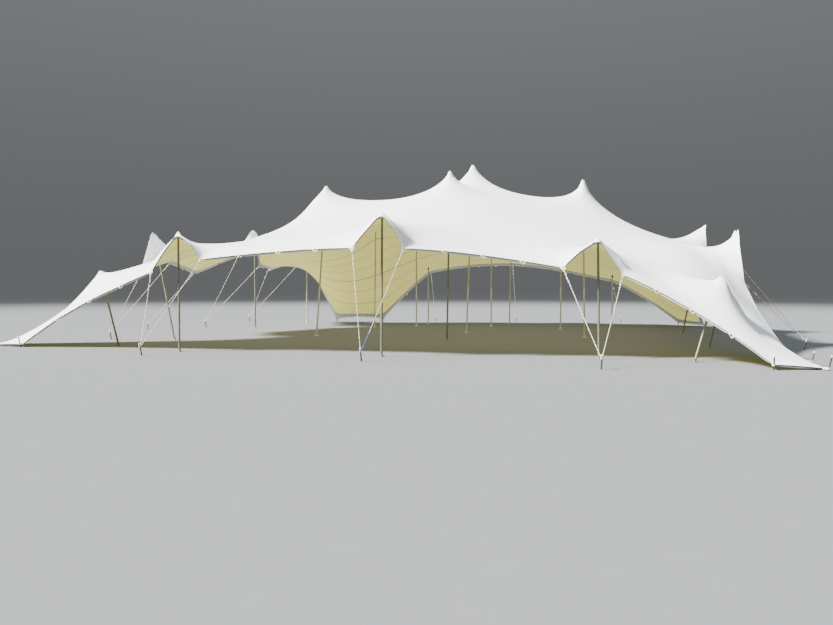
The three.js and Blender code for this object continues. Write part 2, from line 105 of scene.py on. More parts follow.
# Each guy: the foot of its stake, and for each rope the loop that it holds and that loop's place
GUYS = {
    "front_left": ((-5.33, -0.79), [(5, 0, -5.59, 0.1, 1.88), (7, 0, -4.32, 0.1, 2.17)]),
    "front_centre": ((-0.14, -1.14), [(11, 0, -0.58, -0.3, 2.38), (13, 0, 0.57, -0.3, 2.36)]),
    "front_right": ((4.68, -1.73), [(17, 0, 3.92, 0, 1.94), (19, 0, 5.14, 0, 1.79)]),
    "left_side_front": ((-9, 3.8), [(0, 5, -7.72, 3.2, 1.83), (0, 7, -7.96, 5.3, 2.23)]),
    "left_side_middle": ((-10.5, 8.4), [(0, 9, -8.03, 6.95, 1.93)]),
    "left_side_rear": ((-9.3, 10.4), [(0, 11, -7.56, 9.4, 2.6), (0, 13, -7.56, 11.2, 2.25)]),
    "right_side_front": ((9.63, 3.9), [(24, 5, 8.13, 3.3, 1.62), (24, 7, 8.28, 5.4, 2.23)]),
    "right_side_rear": ((9.8, 10.3), [(24, 11, 8.12, 9.2, 2.68), (24, 13, 8.28, 11.1, 2.78)]),
    "back_left": ((-9.6, 15.1), [(0, 18, -8.32, 14, 2.18), (2, 18, -7.13, 15, 2.69)]),
    "back_mid_left": ((-1.8, 16.7), [(9, 18, -1.73, 15.2, 2.09)]),
    "back_mid_right": ((1.6, 17.1), [(14, 18, 1.59, 15.5, 2.37)]),
    "back_right": ((5.9, 16.7), [(19, 18, 5.48, 15.2, 1.72)]),
}
# Each stake at the hem: the loop that it holds, that loop's place and the way that it pulls
Anchor = namedtuple("Anchor", "loop place pull")
ANCHORS = {
    "left_corner_stake": Anchor((0, 0), (-10.6, 0.9, 0.04), (-1, -0.15)),
    "left_front_stake": Anchor((1, 0), (-9.6, 0.8, 0.08), (-0.2, -1)),
    "right_corner_stake": Anchor((24, 0), (8.73, -1.05, 0.04), (0.8, -0.6)),
    "right_front_stake": Anchor((23, 0), (7.81, -1.2, 0.1), (-0.1, -1)),
    "right_flank_stake": Anchor((24, 1), (8.66, -0.2, 0.08), (1, 0.1)),
    "back_wall_left_stake": Anchor((4, 18), (-5.72, 15.1, 0.13), (-0.2, 1)),
    "back_wall_right_stake": Anchor((7, 18), (-3.75, 15.2, 0.15), (0.2, 1)),
    "right_back_corner_stake": Anchor((24, 18), (8.9, 15, 0.04), (0.8, 0.6)),
    "right_back_stake": Anchor((23, 18), (8, 15.3, 0.1), (0.1, 1)),
}
# More places of the hem that are held: where in the cloth and where in the frame
FREE_HOLDS = [
    ((5.5, 0), (-5.23, 0.08, 2.35)),
    ((6, 0), (-4.88, 0.05, 2.69)),
    ((6.5, 0), (-4.57, 0.08, 2.49)),
    ((11.5, 0), (-0.23, -0.33, 2.76)),
    ((12, 0), (0.07, -0.35, 3.02)),
    ((12.5, 0), (0.37, -0.33, 2.73)),
    ((17.5, 0), (4.27, 0.03, 2.25)),
    ((18, 0), (4.64, 0.05, 2.46)),
    ((18.5, 0), (4.88, 0.03, 2.15)),
    ((2, 0), (-8.55, 0.75, 0.73)),
    ((3, 0), (-7.55, 0.6, 1.2)),
    ((0, 1), (-10.4, 1.9, 0.08)),
    ((0, 3), (-9.01, 2.56, 1.15)),
    ((24, 2), (8.52, 0.75, 0.2)),
    ((24, 3), (8.4, 1.5, 0.53)),
    ((24, 4), (8.27, 2.38, 0.97)),
]
# Where the cut of the cloth lies higher or lower than an even net: loop, height, spread in loops
LIFTS = [
    ((1.4, 1.4), -0.21, 0.7),
    ((3.4, 2.4), 0.14, 1),
    ((23, 1.7), -0.26, 0.8),
    ((6.6, 8.2), 0.14, 1),
    ((21.6, 4.2), 0.3, 1.2),
    ((21.2, 1.4), 0.13, 0.6),
    ((22, 1.5), 0.07, 0.5),
]
# Folds pulled into the sheet: a path in loops, how far it stands out in metres, its width in loops
CREASES = [
    ([(12, 0), (12.4, 0.1), (12.75, 0.2), (13.1, 0.27)], 0.08, 0.1),
    ([(12, 0), (11.6, 0.1), (11.25, 0.2), (10.9, 0.27)], 0.05, 0.13),
    ([(18, 0), (18.4, 0.1), (18.75, 0.2), (19.2, 0.27)], 0.08, 0.1),
    ([(18, 0), (17.6, 0.1), (17.25, 0.2), (16.9, 0.27)], 0.05, 0.13),
    ([(6, 0), (6.4, 0.1), (6.75, 0.2), (7.1, 0.27)], 0.04, 0.13),
    ([(6, 0), (5.6, 0.1), (5.25, 0.2), (4.9, 0.27)], 0.05, 0.13),
    ([(22, 1.45), (22.45, 1.6), (22.9, 2), (23.3, 2.35)], 0.08, 0.13),
    ([(22.4, 2), (22.8, 2.4), (23.2, 2.9)], -0.025, 0.3),
    ([(7.7, 1.7), (8.4, 2.8), (9, 3.4), (9.8, 3.9)], 0.07, 0.2),
]
# A fold grows over the first share of its path and fades over the last
CREASE_START = 0.04
CREASE_END = 0.35
# How far the hem stands out past the head of an edge pole, and over what length, in loops
NOSE = 0.05
NOSE_REACH = 0.3
# Steps of the sheet's grid in loops: the plain step, and finer ones where the cloth is folded
PLAIN_STEP = 1 / 6
FINE_ACROSS = [(0, 2.2, 0.1), (4.8, 7.2, 0.07), (7.2, 9.9, 0.1), (10.8, 13.2, 0.07),
               (16.8, 19.3, 0.07), (21.6, 24, 0.07)]
FINE_BACK = [(0, 0.5, 0.04), (0.5, 3.2, 0.1)]
# The slope beside a seam or a hem, and the room that the grid leaves round a hem line, in loops
EDGE_SLOPE = 0.005
EDGE_ROOM = 0.012
# The grid is drawn together round the pole tips: how strongly and how far, in loops
DRAW = 0.8
DRAW_REACH = 1

STRIPS = [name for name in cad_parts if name.startswith("canopy_strip")]
# Poles whose zinc is painted dark as painted shade; the others get zinc painted lighter as painted light
SHADED_POLES = ("front", "left_corner", "left_side", "right_corner", "right_side")
# Each pole ends in a ball of this radius. The cloth rounds over it and falls away no steeper than this.
HEAD_R = 0.033
HEAD_FALL = 2.4
# How softly the cloth is lifted off a ball, how far, and within what distance
HEAD_SOFT = 0.004
HEAD_CLEARANCE = 0.002
HEAD_REACH = 0.4
# The dark tube under the hem's edge, half the thickness of the facing, and how deep webbing and facing are
# sewn
DARK_LINE_R = 0.011
FACING_HALF = 0.001
SEWN_DEPTH = 0.004
# A tie's length from the hem to its knot or stake, the knot's radius and the gap behind it
TAB_LENGTH = 0.06
KNOT_R = 0.015
GAP = 0.0003
# Parts in the half turn of a strap round its stake
STRAP_TURN = 8
# A pole's tube: height where it starts, rings in each half, share of its length where the sleeve sits
TUBE_START = 0.03
TUBE_RINGS = 9
JOIN_SHARE = 0.54
# The way that the set screw of a foot plate's socket points
SCREW_TURN = -0.6
# A stake's radius and length, and how far it leans to the side for each metre up
STAKE_R = 0.016
STAKE_LENGTH = 0.29
STAKE_LEAN = 0.22
# Height of the rope's turns on a stake, and how far from its axis a rope ends there
RING_HEIGHT = 0.215
RING_R = (STAKE_R + 0.007 + GAP) / math.cos(math.pi / 12)
# A rope's sag for each metre of its length, and the step between its rings
ROPE_SAG = 0.006
ROPE_STEP = 0.016
# Heads of bolts and screws: distance along the bolt and radius
PLATE_BOLT = [(-0.001, 0.011), (0.002, 0.011), (0.004, 0.009), (0.006, 0.005)]
SOCKET_BOLT = [(0, 0.009), (0.009, 0.009), (0.011, 0.0075), (0.011, 0.003)]
SLEEVE_BOLT = [(0, 0.008), (0.005, 0.008), (0.007, 0.006), (0.007, 0.002)]

# Fixed colours in the finishes
SEAM_SHADE = (0.2, 0.21, 0.12)
# Painted shade along the folds of the inner face
FOLD_PAINTED_SHADE = (0.24, 0.25, 0.12)
PALE_DAYLIGHT = (0.6, 0.61, 0.56)
PALE_SHARE = 0.17
FACING_DAYLIGHT = (0.1, 0.105, 0.11)
# Greys of the white facing on the inner face: painted shade
FACING_PAINTED_SHADE = ((0.46, 0.49, 0.48), (0.54, 0.57, 0.56))
RUST = (0.13, 0.055, 0.025)
# Worn surfaces: scale, detail and grain of the wear, the band in which it shows, depth of its marks
RUBBER = dict(colour=(0.03, 0.03, 0.032), worn=(0.11, 0.108, 0.1), scale=34, detail=5, grain=0.6,
              band=(0.5, 0.75), roughness=0.5, depth=0.0008)
ZINC = dict(colour=(0.3, 0.29, 0.26), worn=(0.6, 0.59, 0.55), scale=90, detail=4, roughness=0.25,
            depth=0.0003, metallic=0.9)
PLASTIC = dict(scale=45, detail=5, grain=0.6, band=(0.5, 0.8), roughness=0.35, depth=0.0006)
BLACK = (0, 0, 0)
# The cloth's lines in metres: folds between two seams, darkened as painted shade, and their width,
# the edge of a seam, the stitches and the ribs of the knit. Then the spacing of the marks on a rope.
FOLDS_PER_PANEL = 3
FOLD_REACH = 0.035
SEAM_SLOPE = 0.004
STITCH_LENGTH = 0.009
RIB_WIDTH = 0.006
RIB_LENGTH = 0.009
MARK_SPACING = 0.09
# Turns the numbers of the panels into shades that look uneven
PANEL_SCATTER = 12.9898

# The camera stands where the photograph was taken, at eye height in front of the tent
CAMERA_PLACE = (4.29, -17.06, 1.6)
CAMERA_TURN = 11.6
CAMERA_DIP = 2.04
FOCAL_PIXELS = 800
IMAGE_WIDTH = 833
SENSOR_WIDTH = 36
# The way that the key light shines, and its width in degrees
SUN_WAY = (0.7, 0.32, -0.64)
SUN_SPREAD = 9


def length_setting(name, default, description, **limits):
    return bpy.props.FloatProperty(
        name=name, description=description, default=default, unit="LENGTH", **limits)


def strength_setting(name, default, description, unit="NONE"):
    return bpy.props.FloatProperty(
        name=name, description=description, default=default, min=0, unit=unit)


def colour_setting(name, default, description):
    return bpy.props.FloatVectorProperty(
        name=name, description=description, default=default, subtype="COLOR", size=3, min=0, max=1)


class SheetSettings(bpy.types.PropertyGroup):
    loop_pitch: length_setting(
        "Loop pitch", 0.833, "Distance between two tie loops along the hem", min=0.3)
    cloth_thickness: length_setting("Cloth thickness", 0.0025, "Thickness of the coated knit", min=0.001)
    cloth_lift: length_setting("Cloth lift", 0.0015, "Height of the inner face over the pole heads")
    hem_width: length_setting("Hem width", 0.045, "Width of the doubled hem")
    hem_raise: length_setting("Hem raise", 0.0015, "How far the doubled hem stands proud")
    facing_width: length_setting("Facing width", 0.11, "Width of the outer cloth turned to the inside")
    facing_droop: length_setting("Facing droop", 0.05, "How far the facing droops between two loops")
    seam_spacing: length_setting("Seam spacing", 1.5, "Width of the cloth between two cross seams")
    seam_width: length_setting("Seam width", 0.036, "Width of a lapped cross seam")
    seam_raise: length_setting("Seam raise", 0.001, "How far a lapped seam stands proud")
    outer_colour: colour_setting("Outer face", (0.9, 0.905, 0.9), "Ivory white coating")
    # The inner face is cream cloth; its strong yellow is painted bounce light
    inner_colour: colour_setting("Inner face", (0.73, 0.665, 0.14), "Cream inner face, made yellower as painted bounce light")
    dark_line_colour: colour_setting("Hem dark line", (0.035, 0.037, 0.035), "Dark line under the hem's edge")
    # The facing's colour is white cloth painted grey: painted shade
    shaded_facing_colour: colour_setting("Facing", (0.56, 0.6, 0.57), "Back of the hem's facing, white cloth painted grey as painted shade")
    glow: strength_setting("Glow", 0.8, "Daylight that comes through the cloth to its inner face")
    facing_glow: strength_setting("Facing glow", 0.3, "Daylight that comes through the facing")


class TabSettings(bpy.types.PropertyGroup):
    webbing_width: length_setting("Webbing width", 0.038, "Width of a tie loop's webbing")
    webbing_thickness: length_setting("Webbing thickness", 0.003, "Thickness of the webbing")
    loop_length: length_setting("Loop length", 0.062, "How far a loose tie loop hangs below the hem")
    leg_spread: length_setting("Leg spread", 0.11, "Distance between the sewn ends of a tie loop")
    webbing_colour: colour_setting("Webbing", (0.84, 0.83, 0.79), "White polyester webbing")


class PoleSettings(bpy.types.PropertyGroup):
    tube_radius: length_setting("Tube radius", 0.025, "Outer radius of the pole")
    sleeve_radius: length_setting("Sleeve radius", 0.028, "Radius of the joining sleeve")
    sleeve_length: length_setting("Sleeve length", 0.14, "Length of the joining sleeve")
    plate_radius: length_setting("Plate radius", 0.08, "Radius of the foot plate")
    plate_thickness: length_setting("Plate thickness", 0.01, "Thickness of the foot plate")
    socket_radius: length_setting("Socket radius", 0.034, "Radius of the socket on the foot plate")
    socket_height: length_setting("Socket height", 0.07, "Height of the socket's rim")
    # One zinc in two colours: painted light for the middle and back poles, painted shade for the rest
    lit_steel_colour: colour_setting("Galvanised steel", (0.5, 0.5, 0.44), "Zinc painted lighter as painted light on the middle and back poles")
    shaded_steel_colour: colour_setting(
        "Steel in painted shade", (0.17, 0.18, 0.125), "Zinc painted dark as painted shade on the poles in front and at the sides")


class RopeSettings(bpy.types.PropertyGroup):
    rope_radius: length_setting("Rope radius", 0.006, "Radius of the laid rope")
    lay_length: length_setting("Lay length", 0.055, "Length in which a strand turns once round")
    blue_length: length_setting("Blue length", 0.4, "Length of the blue end on one front rope")
    rope_colour: colour_setting("Rope", (0.8, 0.775, 0.7), "Off-white polyester")
    blue_colour: colour_setting("Blue end", (0.05, 0.16, 0.5), "Blue polypropylene")


class StakeSettings(bpy.types.PropertyGroup):
    cap_radius: length_setting("Cap radius", 0.021, "Radius of the safety cap")
    cap_height: length_setting("Cap height", 0.032, "Height of the safety cap")
    steel_colour: colour_setting("Stake steel", (0.06, 0.055, 0.05), "Bare steel, dark with rust")
    cap_colour: colour_setting("Cap", (0.74, 0.72, 0.64), "Pale plastic")


class StageSettings(bpy.types.PropertyGroup):
    floor_radius: length_setting("Floor radius", 55, "Radius of the flat floor")
    rim_height: length_setting("Rim height", 60, "Height to which the floor curves up all round")
    floor_colour: colour_setting("Floor", (0.163, 0.168, 0.176), "Pale floor")
    rim_colour: colour_setting("Backdrop", (0.13, 0.135, 0.14), "Grey of the curved rim")
    sun_colour: colour_setting("Sun", (1, 0.97, 0.92), "Colour of the soft key light")
    sky_colour: colour_setting("Sky", (0.74, 0.87, 1), "Colour of the even light from all round")
    sun_strength: strength_setting("Sun strength", 22, "Strength of the soft key light")
    sky_strength: strength_setting("Sky strength", 1.5, "Strength of the even light from all round")
    fill_power: strength_setting("Fill power", 300, "Power of the light on the shaded floor", "POWER")
    fill_width: length_setting("Fill width", 15, "Width of the soft light under the sheet")
    fill_depth: length_setting("Fill depth", 13.5, "Depth of the soft light under the sheet")
    fill_height: length_setting("Fill height", 1.5, "Height of the soft light over the floor")


SETTINGS = {
    "tent_sheet": SheetSettings,
    "tent_tabs": TabSettings,
    "tent_poles": PoleSettings,
    "tent_ropes": RopeSettings,
    "tent_stakes": StakeSettings,
    "tent_stage": StageSettings,
}


# Materials


def two_terms(operation, is_reflected=False):
    """An operator method that adds one Math node for its two terms."""
    def method(self, other):
        terms = (other, self) if is_reflected else (self, other)
        return self.math(operation, *terms)
    return method


class Value:
    """A socket that carries a number. Arithmetic on it adds Math nodes to its finish."""
    __add__, __radd__ = two_terms("ADD"), two_terms("ADD", True)
    __sub__, __rsub__ = two_terms("SUBTRACT"), two_terms("SUBTRACT", True)
    __mul__, __rmul__ = two_terms("MULTIPLY"), two_terms("MULTIPLY", True)
    __truediv__, __rtruediv__ = two_terms("DIVIDE"), two_terms("DIVIDE", True)

    def __init__(self, finish, socket):
        self.finish = finish
        self.socket = socket

    def __abs__(self):
        return self.math("ABSOLUTE", self)

    def math(self, operation, *terms):
        return self.finish.node("ShaderNodeMath", {"operation": operation}, dict(enumerate(terms)))

    def sine(self):
        return self.math("SINE", self)

    def wave(self, length):
        """A sine wave of the given length, from -1 to 1."""
        return (self * (2 * math.pi / length)).sine()

    def ramp(self, start, end, low, high):
        sockets = {"Value": self, "From Min": start, "From Max": end, "To Min": low, "To Max": high}
        return self.finish.node("ShaderNodeMapRange", {"interpolation_type": "SMOOTHSTEP"}, sockets)

    def near(self, reach):
        """1 where the value is 0, falling to 0 at reach on either side."""
        return abs(self).ramp(0, reach, 1, 0)

    def rise(self, low, high):
        """0 below low, 1 above high, and smooth between."""
        return self.ramp(low, high, 0, 1)

    def from_line(self, spacing):
        """Distance to the nearest of a row of lines that lie spacing apart."""
        share = self / spacing + 0.5
        return abs(share.math("FRACT", share) - 0.5) * spacing


class Finish:
    """One procedural material, its Principled shader and its nodes."""

    def __init__(self, name, colour, **constants):
        self.material = bpy.data.materials.new(name)
        self.material.use_nodes = True
        self.tree = self.material.node_tree
        self.tree.nodes.clear()
        target = self.tree.nodes.new("ShaderNodeOutputMaterial")
        self.shader = self.tree.nodes.new("ShaderNodeBsdfPrincipled")
        self.tree.links.new(self.shader.outputs[0], target.inputs["Surface"])
        self.place = self.node("ShaderNodeTexCoord", output="Object")
        self.colour = self.base = tuple(colour)
        for socket, value in constants.items():
            self.paint(socket.replace("_", " "), value)

    def put(self, socket, value):
        if isinstance(value, Value):
            self.tree.links.new(value.socket, socket)
        elif hasattr(value, "__len__") and len(socket.default_value) == 4 and len(value) == 3:
            socket.default_value = (*value, 1)
        else:
            socket.default_value = value

    def node(self, kind, settings=None, sockets=None, output=0):
        node = self.tree.nodes.new(kind)
        for name, value in (settings or {}).items():
            setattr(node, name, value)
        for key, value in (sockets or {}).items():
            self.put(node.inputs[key], value)
        return Value(self, node.outputs[output])

    def paint(self, socket, value):
        self.put(self.shader.inputs[socket], value)

    def stretch(self, vector, scale):
        return self.node("ShaderNodeVectorMath", {"operation": "MULTIPLY"}, {0: vector, 1: scale})

    def parts(self, vector):
        split = self.node("ShaderNodeSeparateXYZ", sockets={0: vector}).socket.node
        return [Value(self, socket) for socket in split.outputs]

    def noise(self, scale, detail=3, roughness=0.55, vector=None):
        sockets = {"Vector": vector or self.place, "Scale": scale, "Detail": detail, "Roughness": roughness}
        return self.node("ShaderNodeTexNoise", sockets=sockets)

    def mix(self, mask, low, high):
        """A colour that is low where the mask is 0 and high where it is 1."""
        return self.node("ShaderNodeMix", {"data_type": "RGBA"}, {0: mask, 6: low, 7: high}, 2)

    def lay(self, mask, low, high):
        """Paints the surface with a mix of two colours; a number is a shade of the finish's own."""
        def shade(part):
            return tint(self.colour, part) if isinstance(part, (int, float)) else part

        self.base = self.mix(mask, shade(low), shade(high))
        self.paint("Base Color", self.base)

    def stain(self, mask, high):
        """Paints over what is there, where the mask is 1."""
        self.lay(mask, self.base, high)

    def emboss(self, height, distance, strength=1):
        sockets = {"Height": height, "Distance": distance, "Strength": strength}
        self.paint("Normal", self.node("ShaderNodeBump", sockets=sockets))


def tint(colour, factor):
    """A colour made lighter or darker by a factor."""
    return tuple(min(1, part * factor) for part in colour)


def cloth_finish(name, colour, settings, is_outer):
    """Coated knit with lapped seams, faint panel shading, mottling and pulled wrinkles."""
    finish = Finish(name, colour, Specular_IOR_Level=0.35, Sheen_Weight=0.15, Sheen_Roughness=0.5)
    cloth = finish.node("ShaderNodeUVMap", {"uv_map": "cloth"})
    across, back, _ = finish.parts(cloth)
    blotch = finish.noise(3.5, 5, 0.62)
    finish.lay(finish.noise(0.7, 4).rise(0.35, 0.7), 1.02, 0.93)
    finish.stain(blotch.rise(0.55, 0.8) * 0.35, 0.86)
    panel = back / settings.seam_spacing
    shade = (panel.math("FLOOR", panel) * PANEL_SCATTER).sine() * 0.5 + 0.5
    finish.stain(shade * 0.3, 0.93 if is_outer else 0.88)
    from_seam = back.from_line(settings.seam_spacing)
    half = settings.seam_width / 2
    lap = 1 - from_seam.rise(half, half + SEAM_SLOPE)
    if is_outer:
        finish.stain(lap * 0.25, 0.9)
    else:
        finish.stain(lap * 0.8, SEAM_SHADE)
        # Dark lines along the folds between seams: painted shade
        from_fold = back.from_line(settings.seam_spacing / FOLDS_PER_PANEL)
        finish.stain(from_fold.near(FOLD_REACH) * 0.7, FOLD_PAINTED_SHADE)
        wide = LOOPS_WIDE * settings.loop_pitch
        deep = LOOPS_DEEP * settings.loop_pitch
        from_side = abs(across - wide / 2) - wide / 2 + settings.facing_width
        from_end = abs(back - deep / 2) - deep / 2 + settings.facing_width
        facing = (from_side.rise(-0.002, 0) + from_end.rise(-0.002, 0)).rise(0, 0.5)
        daylight = finish.mix(PALE_SHARE, finish.base, PALE_DAYLIGHT)
        finish.paint("Emission Color", finish.mix(facing, daylight, FACING_DAYLIGHT))
        finish.paint("Emission Strength", settings.glow)
        # The facing band, white cloth turned inside, is painted grey: painted shade
        finish.stain(facing, finish.mix(blotch, *FACING_PAINTED_SHADE))
    stitches = (from_seam - half * 0.72).near(0.002) * across.wave(STITCH_LENGTH).rise(-0.2, 0.2)
    finish.stain(stitches * 0.6, 0.66)
    finish.paint("Roughness", blotch * 0.14 + 0.52)
    ribs = across.wave(RIB_WIDTH) * back.wave(RIB_LENGTH)
    pulled = finish.noise(1.6, 4, 0.5, finish.stretch(cloth, (0.55, 3.2, 1)))
    dimples = finish.noise(9, 3, 0.5)
    finish.emboss(ribs * 0.0002 + pulled * 0.006 + dimples * 0.0012 - stitches * 0.0006, 1, 0.55)
    return finish.material


def webbing_finish(name, colour, pitch=0.004, glow=0):
    """Woven webbing: fine ribs across a slightly soiled tape, with daylight through a thin one."""
    finish = Finish(name, colour, Roughness=0.8, Sheen_Weight=0.25, Emission_Color=colour,
                    Emission_Strength=glow)
    x, y, z = finish.parts(finish.place)
    weave = (x + z * 1.7).wave(pitch) * (y + z).wave(pitch)
    finish.lay(weave * 0.5 + 0.5, 0.84, 1.04)
    finish.stain(finish.noise(11, 4).rise(0.45, 0.8) * 0.5, 0.72)
    finish.emboss(weave, 0.0006)
    return finish.material


def galvanised_finish(name, colour):
    """Zinc with its pale and dark spangles, dull patches and scuffs."""
    finish = Finish(name, colour, Metallic=0.35)
    cells = {"Vector": finish.place, "Scale": 46}
    flake, _, _ = finish.parts(finish.node("ShaderNodeTexVoronoi", sockets=cells, output="Color"))
    dull = finish.noise(5, 5, 0.6)
    scuff = finish.noise(60, 4, vector=finish.stretch(finish.place, (1, 1, 0.12)))
    finish.lay(flake, 0.8, 1.25)
    finish.stain(dull.rise(0.45, 0.7) * 0.5, 0.7)
    finish.stain(scuff.rise(0.62, 0.75) * 0.4, 1.5)
    finish.paint("Roughness", flake * 0.16 + dull * 0.25 + 0.28)
    finish.emboss(flake * 0.3 + scuff * 0.5, 0.0006)
    return finish.material


def worn_finish(name, colour, worn, scale, detail, roughness, depth, grain=0.55, band=None, metallic=0):
    """A plain surface whose knocked or rubbed places show in another colour and a rougher face."""
    finish = Finish(name, colour, Metallic=metallic)
    wear = finish.noise(scale, detail, grain)
    finish.lay(wear.rise(*band) if band else wear, finish.colour, worn)
    finish.paint("Roughness", wear * 0.3 + roughness)
    finish.emboss(wear, depth)
    return finish.material


def hem_finish(colour):
    """The cut edge of the doubled hem, where the folded cloth shows its layers."""
    finish = Finish("hem edge", colour, Roughness=0.8)
    layers = finish.noise(60, 4)
    finish.lay(layers, 0.62, 0.88)
    finish.emboss(layers, 0.001)
    return finish.material


def stake_finish(colour):
    """Bare steel bar, dark mill scale broken by rust."""
    finish = Finish("stake steel", colour, Metallic=0.35)
    rust = finish.noise(38, 6, 0.65).rise(0.45, 0.68)
    pits = finish.noise(190, 4)
    finish.lay(pits, 0.7, 1.5)
    finish.stain(rust * 0.7, RUST)
    finish.paint("Roughness", rust * 0.35 + 0.45)
    finish.emboss(pits + rust * 0.6, 0.0008)
    return finish.material


def rope_finish(name, colour):
    """Laid rope: fibre lines, soiled grooves and dark marks along it."""
    finish = Finish(name, colour, Roughness=0.82, Sheen_Weight=0.3)
    fibre = finish.noise(420, 3, 0.6)
    x, y, z = finish.parts(finish.place)
    marks = (z + x * 0.45 + y * 0.45).wave(MARK_SPACING).rise(0.35, 0.75)
    finish.lay(fibre, 0.72, 1.1)
    finish.stain(marks * 0.75, 0.3)
    finish.stain(finish.noise(14, 5, 0.6).rise(0.48, 0.75) * 0.5, 0.58)
    finish.emboss(fibre, 0.0009)
    return finish.material


def floor_finish(floor, rim):
    """Pale floor that turns to the backdrop's grey where it curves up."""
    finish = Finish("pale floor", floor, Roughness=0.9, Specular_IOR_Level=0, Emission_Strength=1)
    reach = finish.node("ShaderNodeVectorMath", {"operation": "LENGTH"}, {0: finish.place}, 1)
    fade = reach.rise(24, 60)
    finish.lay(finish.noise(2.5, 5), 0.97, 1.03)
    finish.stain(fade, BLACK)
    height = finish.parts(finish.place)[2]
    glow = finish.mix(height.rise(0, 50), rim, tint(rim, 1.6))
    finish.paint("Emission Color", finish.mix(fade, BLACK, glow))
    return finish.material


# Meshes


RIGHT = Vector((1, 0, 0))
BACK = Vector((0, 1, 0))
UP = Vector((0, 0, 1))


def local(point):
    """A place measured from the middle front pole, in the frame."""
    return Vector((point[0], point[1], point[2] if len(point) > 2 else 0)) + ORIGIN


def flat(x, y):
    """A level direction of length 1."""
    return Vector((x, y, 0)).normalized()


def dome(base, height, radius, angles):
    """Profile of a round end: distance along the axis and radius at each angle in degrees."""
    return [(base + height * math.sin(math.radians(angle)), radius * math.cos(math.radians(angle)))
            for angle in angles]


def around(centre, side, up, radius, angle):
    """The point at an angle on a circle."""
    return centre + (side * math.cos(angle) + up * math.sin(angle)) * radius


def steps_along(path):
    """The way that a path runs at each of its points."""
    last = len(path) - 1
    return [path[min(i + 1, last)] - path[max(i - 1, 0)] for i in range(last + 1)]


def bands(count, sides, is_closed=False):
    """Faces between rings of points, from the first to the last and, if closed, back to the first."""
    faces = []
    for i in range(count if is_closed else count - 1):
        low = i * sides
        high = (i + 1) % count * sides
        faces += [(low + k, low + (k + 1) % sides, high + (k + 1) % sides, high + k) for k in range(sides)]
    return faces


class Shape:
    """Vertices, faces and the material slot of each face, gathered for one piece."""

    def __init__(self):
        self.points = []
        self.faces = []
        self.slots = []

    def add(self, points, faces, slot=0):
        start = len(self.points)
        self.points.extend(tuple(point) for point in points)
        self.faces.extend(tuple(start + i for i in face) for face in faces)
        self.slots.extend([slot] * len(faces))

    def rings(self, points, sides, slot=0):
        """Adds rings of points as one closed form, with a cap at each end."""
        last = len(points) - sides
        caps = [tuple(reversed(range(sides))), tuple(range(last, len(points)))]
        self.add(points, bands(len(points) // sides, sides) + caps, slot)

    def tube(self, path, radius, sides, slot=0, lay=1, depth=0):
        """A closed tube along a path; with depth it is laid of three strands that turn in lay."""
        tangents = [step.normalized() for step in steps_along(path)]
        side = tangents[0].orthogonal().normalized()
        points = []
        travelled = 0
        for i, (point, along) in enumerate(zip(path, tangents)):
            if i:
                side = (tangents[i - 1].rotation_difference(along)) @ side
                travelled += (point - path[i - 1]).length
            side = (side - along * side.dot(along)).normalized()
            up = along.cross(side)
            for k in range(sides):
                angle = 2 * math.pi * k / sides
                swell = 1 + depth * math.cos(3 * (angle - 2 * math.pi * travelled / lay))
                points.append(around(point, side, up, radius * swell, angle))
        self.rings(points, sides, slot)

    def turned(self, profile, foot, axis, sides, slot=0):
        """A closed turned part: profile is (distance along the axis, radius) from foot to tip."""
        axis = axis.normalized()
        side = axis.orthogonal().normalized()
        up = axis.cross(side)
        points = [around(foot + axis * along, side, up, radius, 2 * math.pi * k / sides)
                  for along, radius in profile for k in range(sides)]
        self.rings(points, sides, slot)

    def ribbon(self, sections, width, thickness):
        """A strap: a centre, a direction across it and a face direction at each section."""
        points = []
        for centre, across, face in sections:
            across = across.normalized() * (width / 2)
            face = face.normalized() * (thickness / 2)
            points += [centre - across - face, centre + across - face,
                       centre + across + face, centre - across + face]
        self.rings(points, 4)

    def piece(self, name, materials, smooth_angle=40):
        mesh = bpy.data.meshes.new(name)
        mesh.from_pydata(self.points, [], self.faces)
        for material in materials:
            mesh.materials.append(material)
        mesh.polygons.foreach_set("material_index", self.slots)
        mesh.update()
        mesh.shade_smooth()
        mesh.set_sharp_from_angle(angle=math.radians(smooth_angle))
        return new_object(name, mesh)


def new_object(name, data):
    """An object in the scene."""
    obj = bpy.data.objects.new(name, data)
    bpy.context.scene.collection.objects.link(obj)
    return obj


def settle(obj, slot_name, *nodes):
    """Hands a piece to the frame: it rides on the tent and stands for its nodes."""
    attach(obj, "root")
    if nodes:
        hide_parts(*nodes)


# The sheet's form


def relax(pull_across, pull_back, held, start, rounds=3000, small=1e-16):
    """Balances a net by conjugate gradients; held nodes keep their start value."""
    links = [(np.s_[:, 1:], np.s_[:, :-1], pull_across), (np.s_[1:], np.s_[:-1], pull_back)]
    weight = np.zeros(start.shape)
    for far, near, pull in links:
        weight[far] += pull
        weight[near] += pull

    def force(values):
        result = np.zeros_like(values)
        for far, near, pull in links:
            step = pull * (values[far] - values[near])
            result[far] += step
            result[near] -= step
        result[held] = 0
        return result

    value = start.copy()
    residual = -force(value)
    eased = residual / weight
    step = eased.copy()
    size = float((residual * eased).sum())
    stop = size * small
    for _ in range(rounds):
        if size <= stop:
            break
        push = force(step)
        rate = size / float((step * push).sum())
        value += rate * step
        residual -= rate * push
        eased = residual / weight
        following = float((residual * eased).sum())
        step = eased + (following / size) * step
        size = following
    return value


def shift_share(across, back, loop, spread=SHIFT_SPREAD):
    """How much a place on the sheet moves along with another one; nothing moves at the hem."""
    away = np.hypot(across - loop[0], back - loop[1]) / spread
    return np.minimum(1, from_hem(across, back)) * np.exp(-away * away / 2)


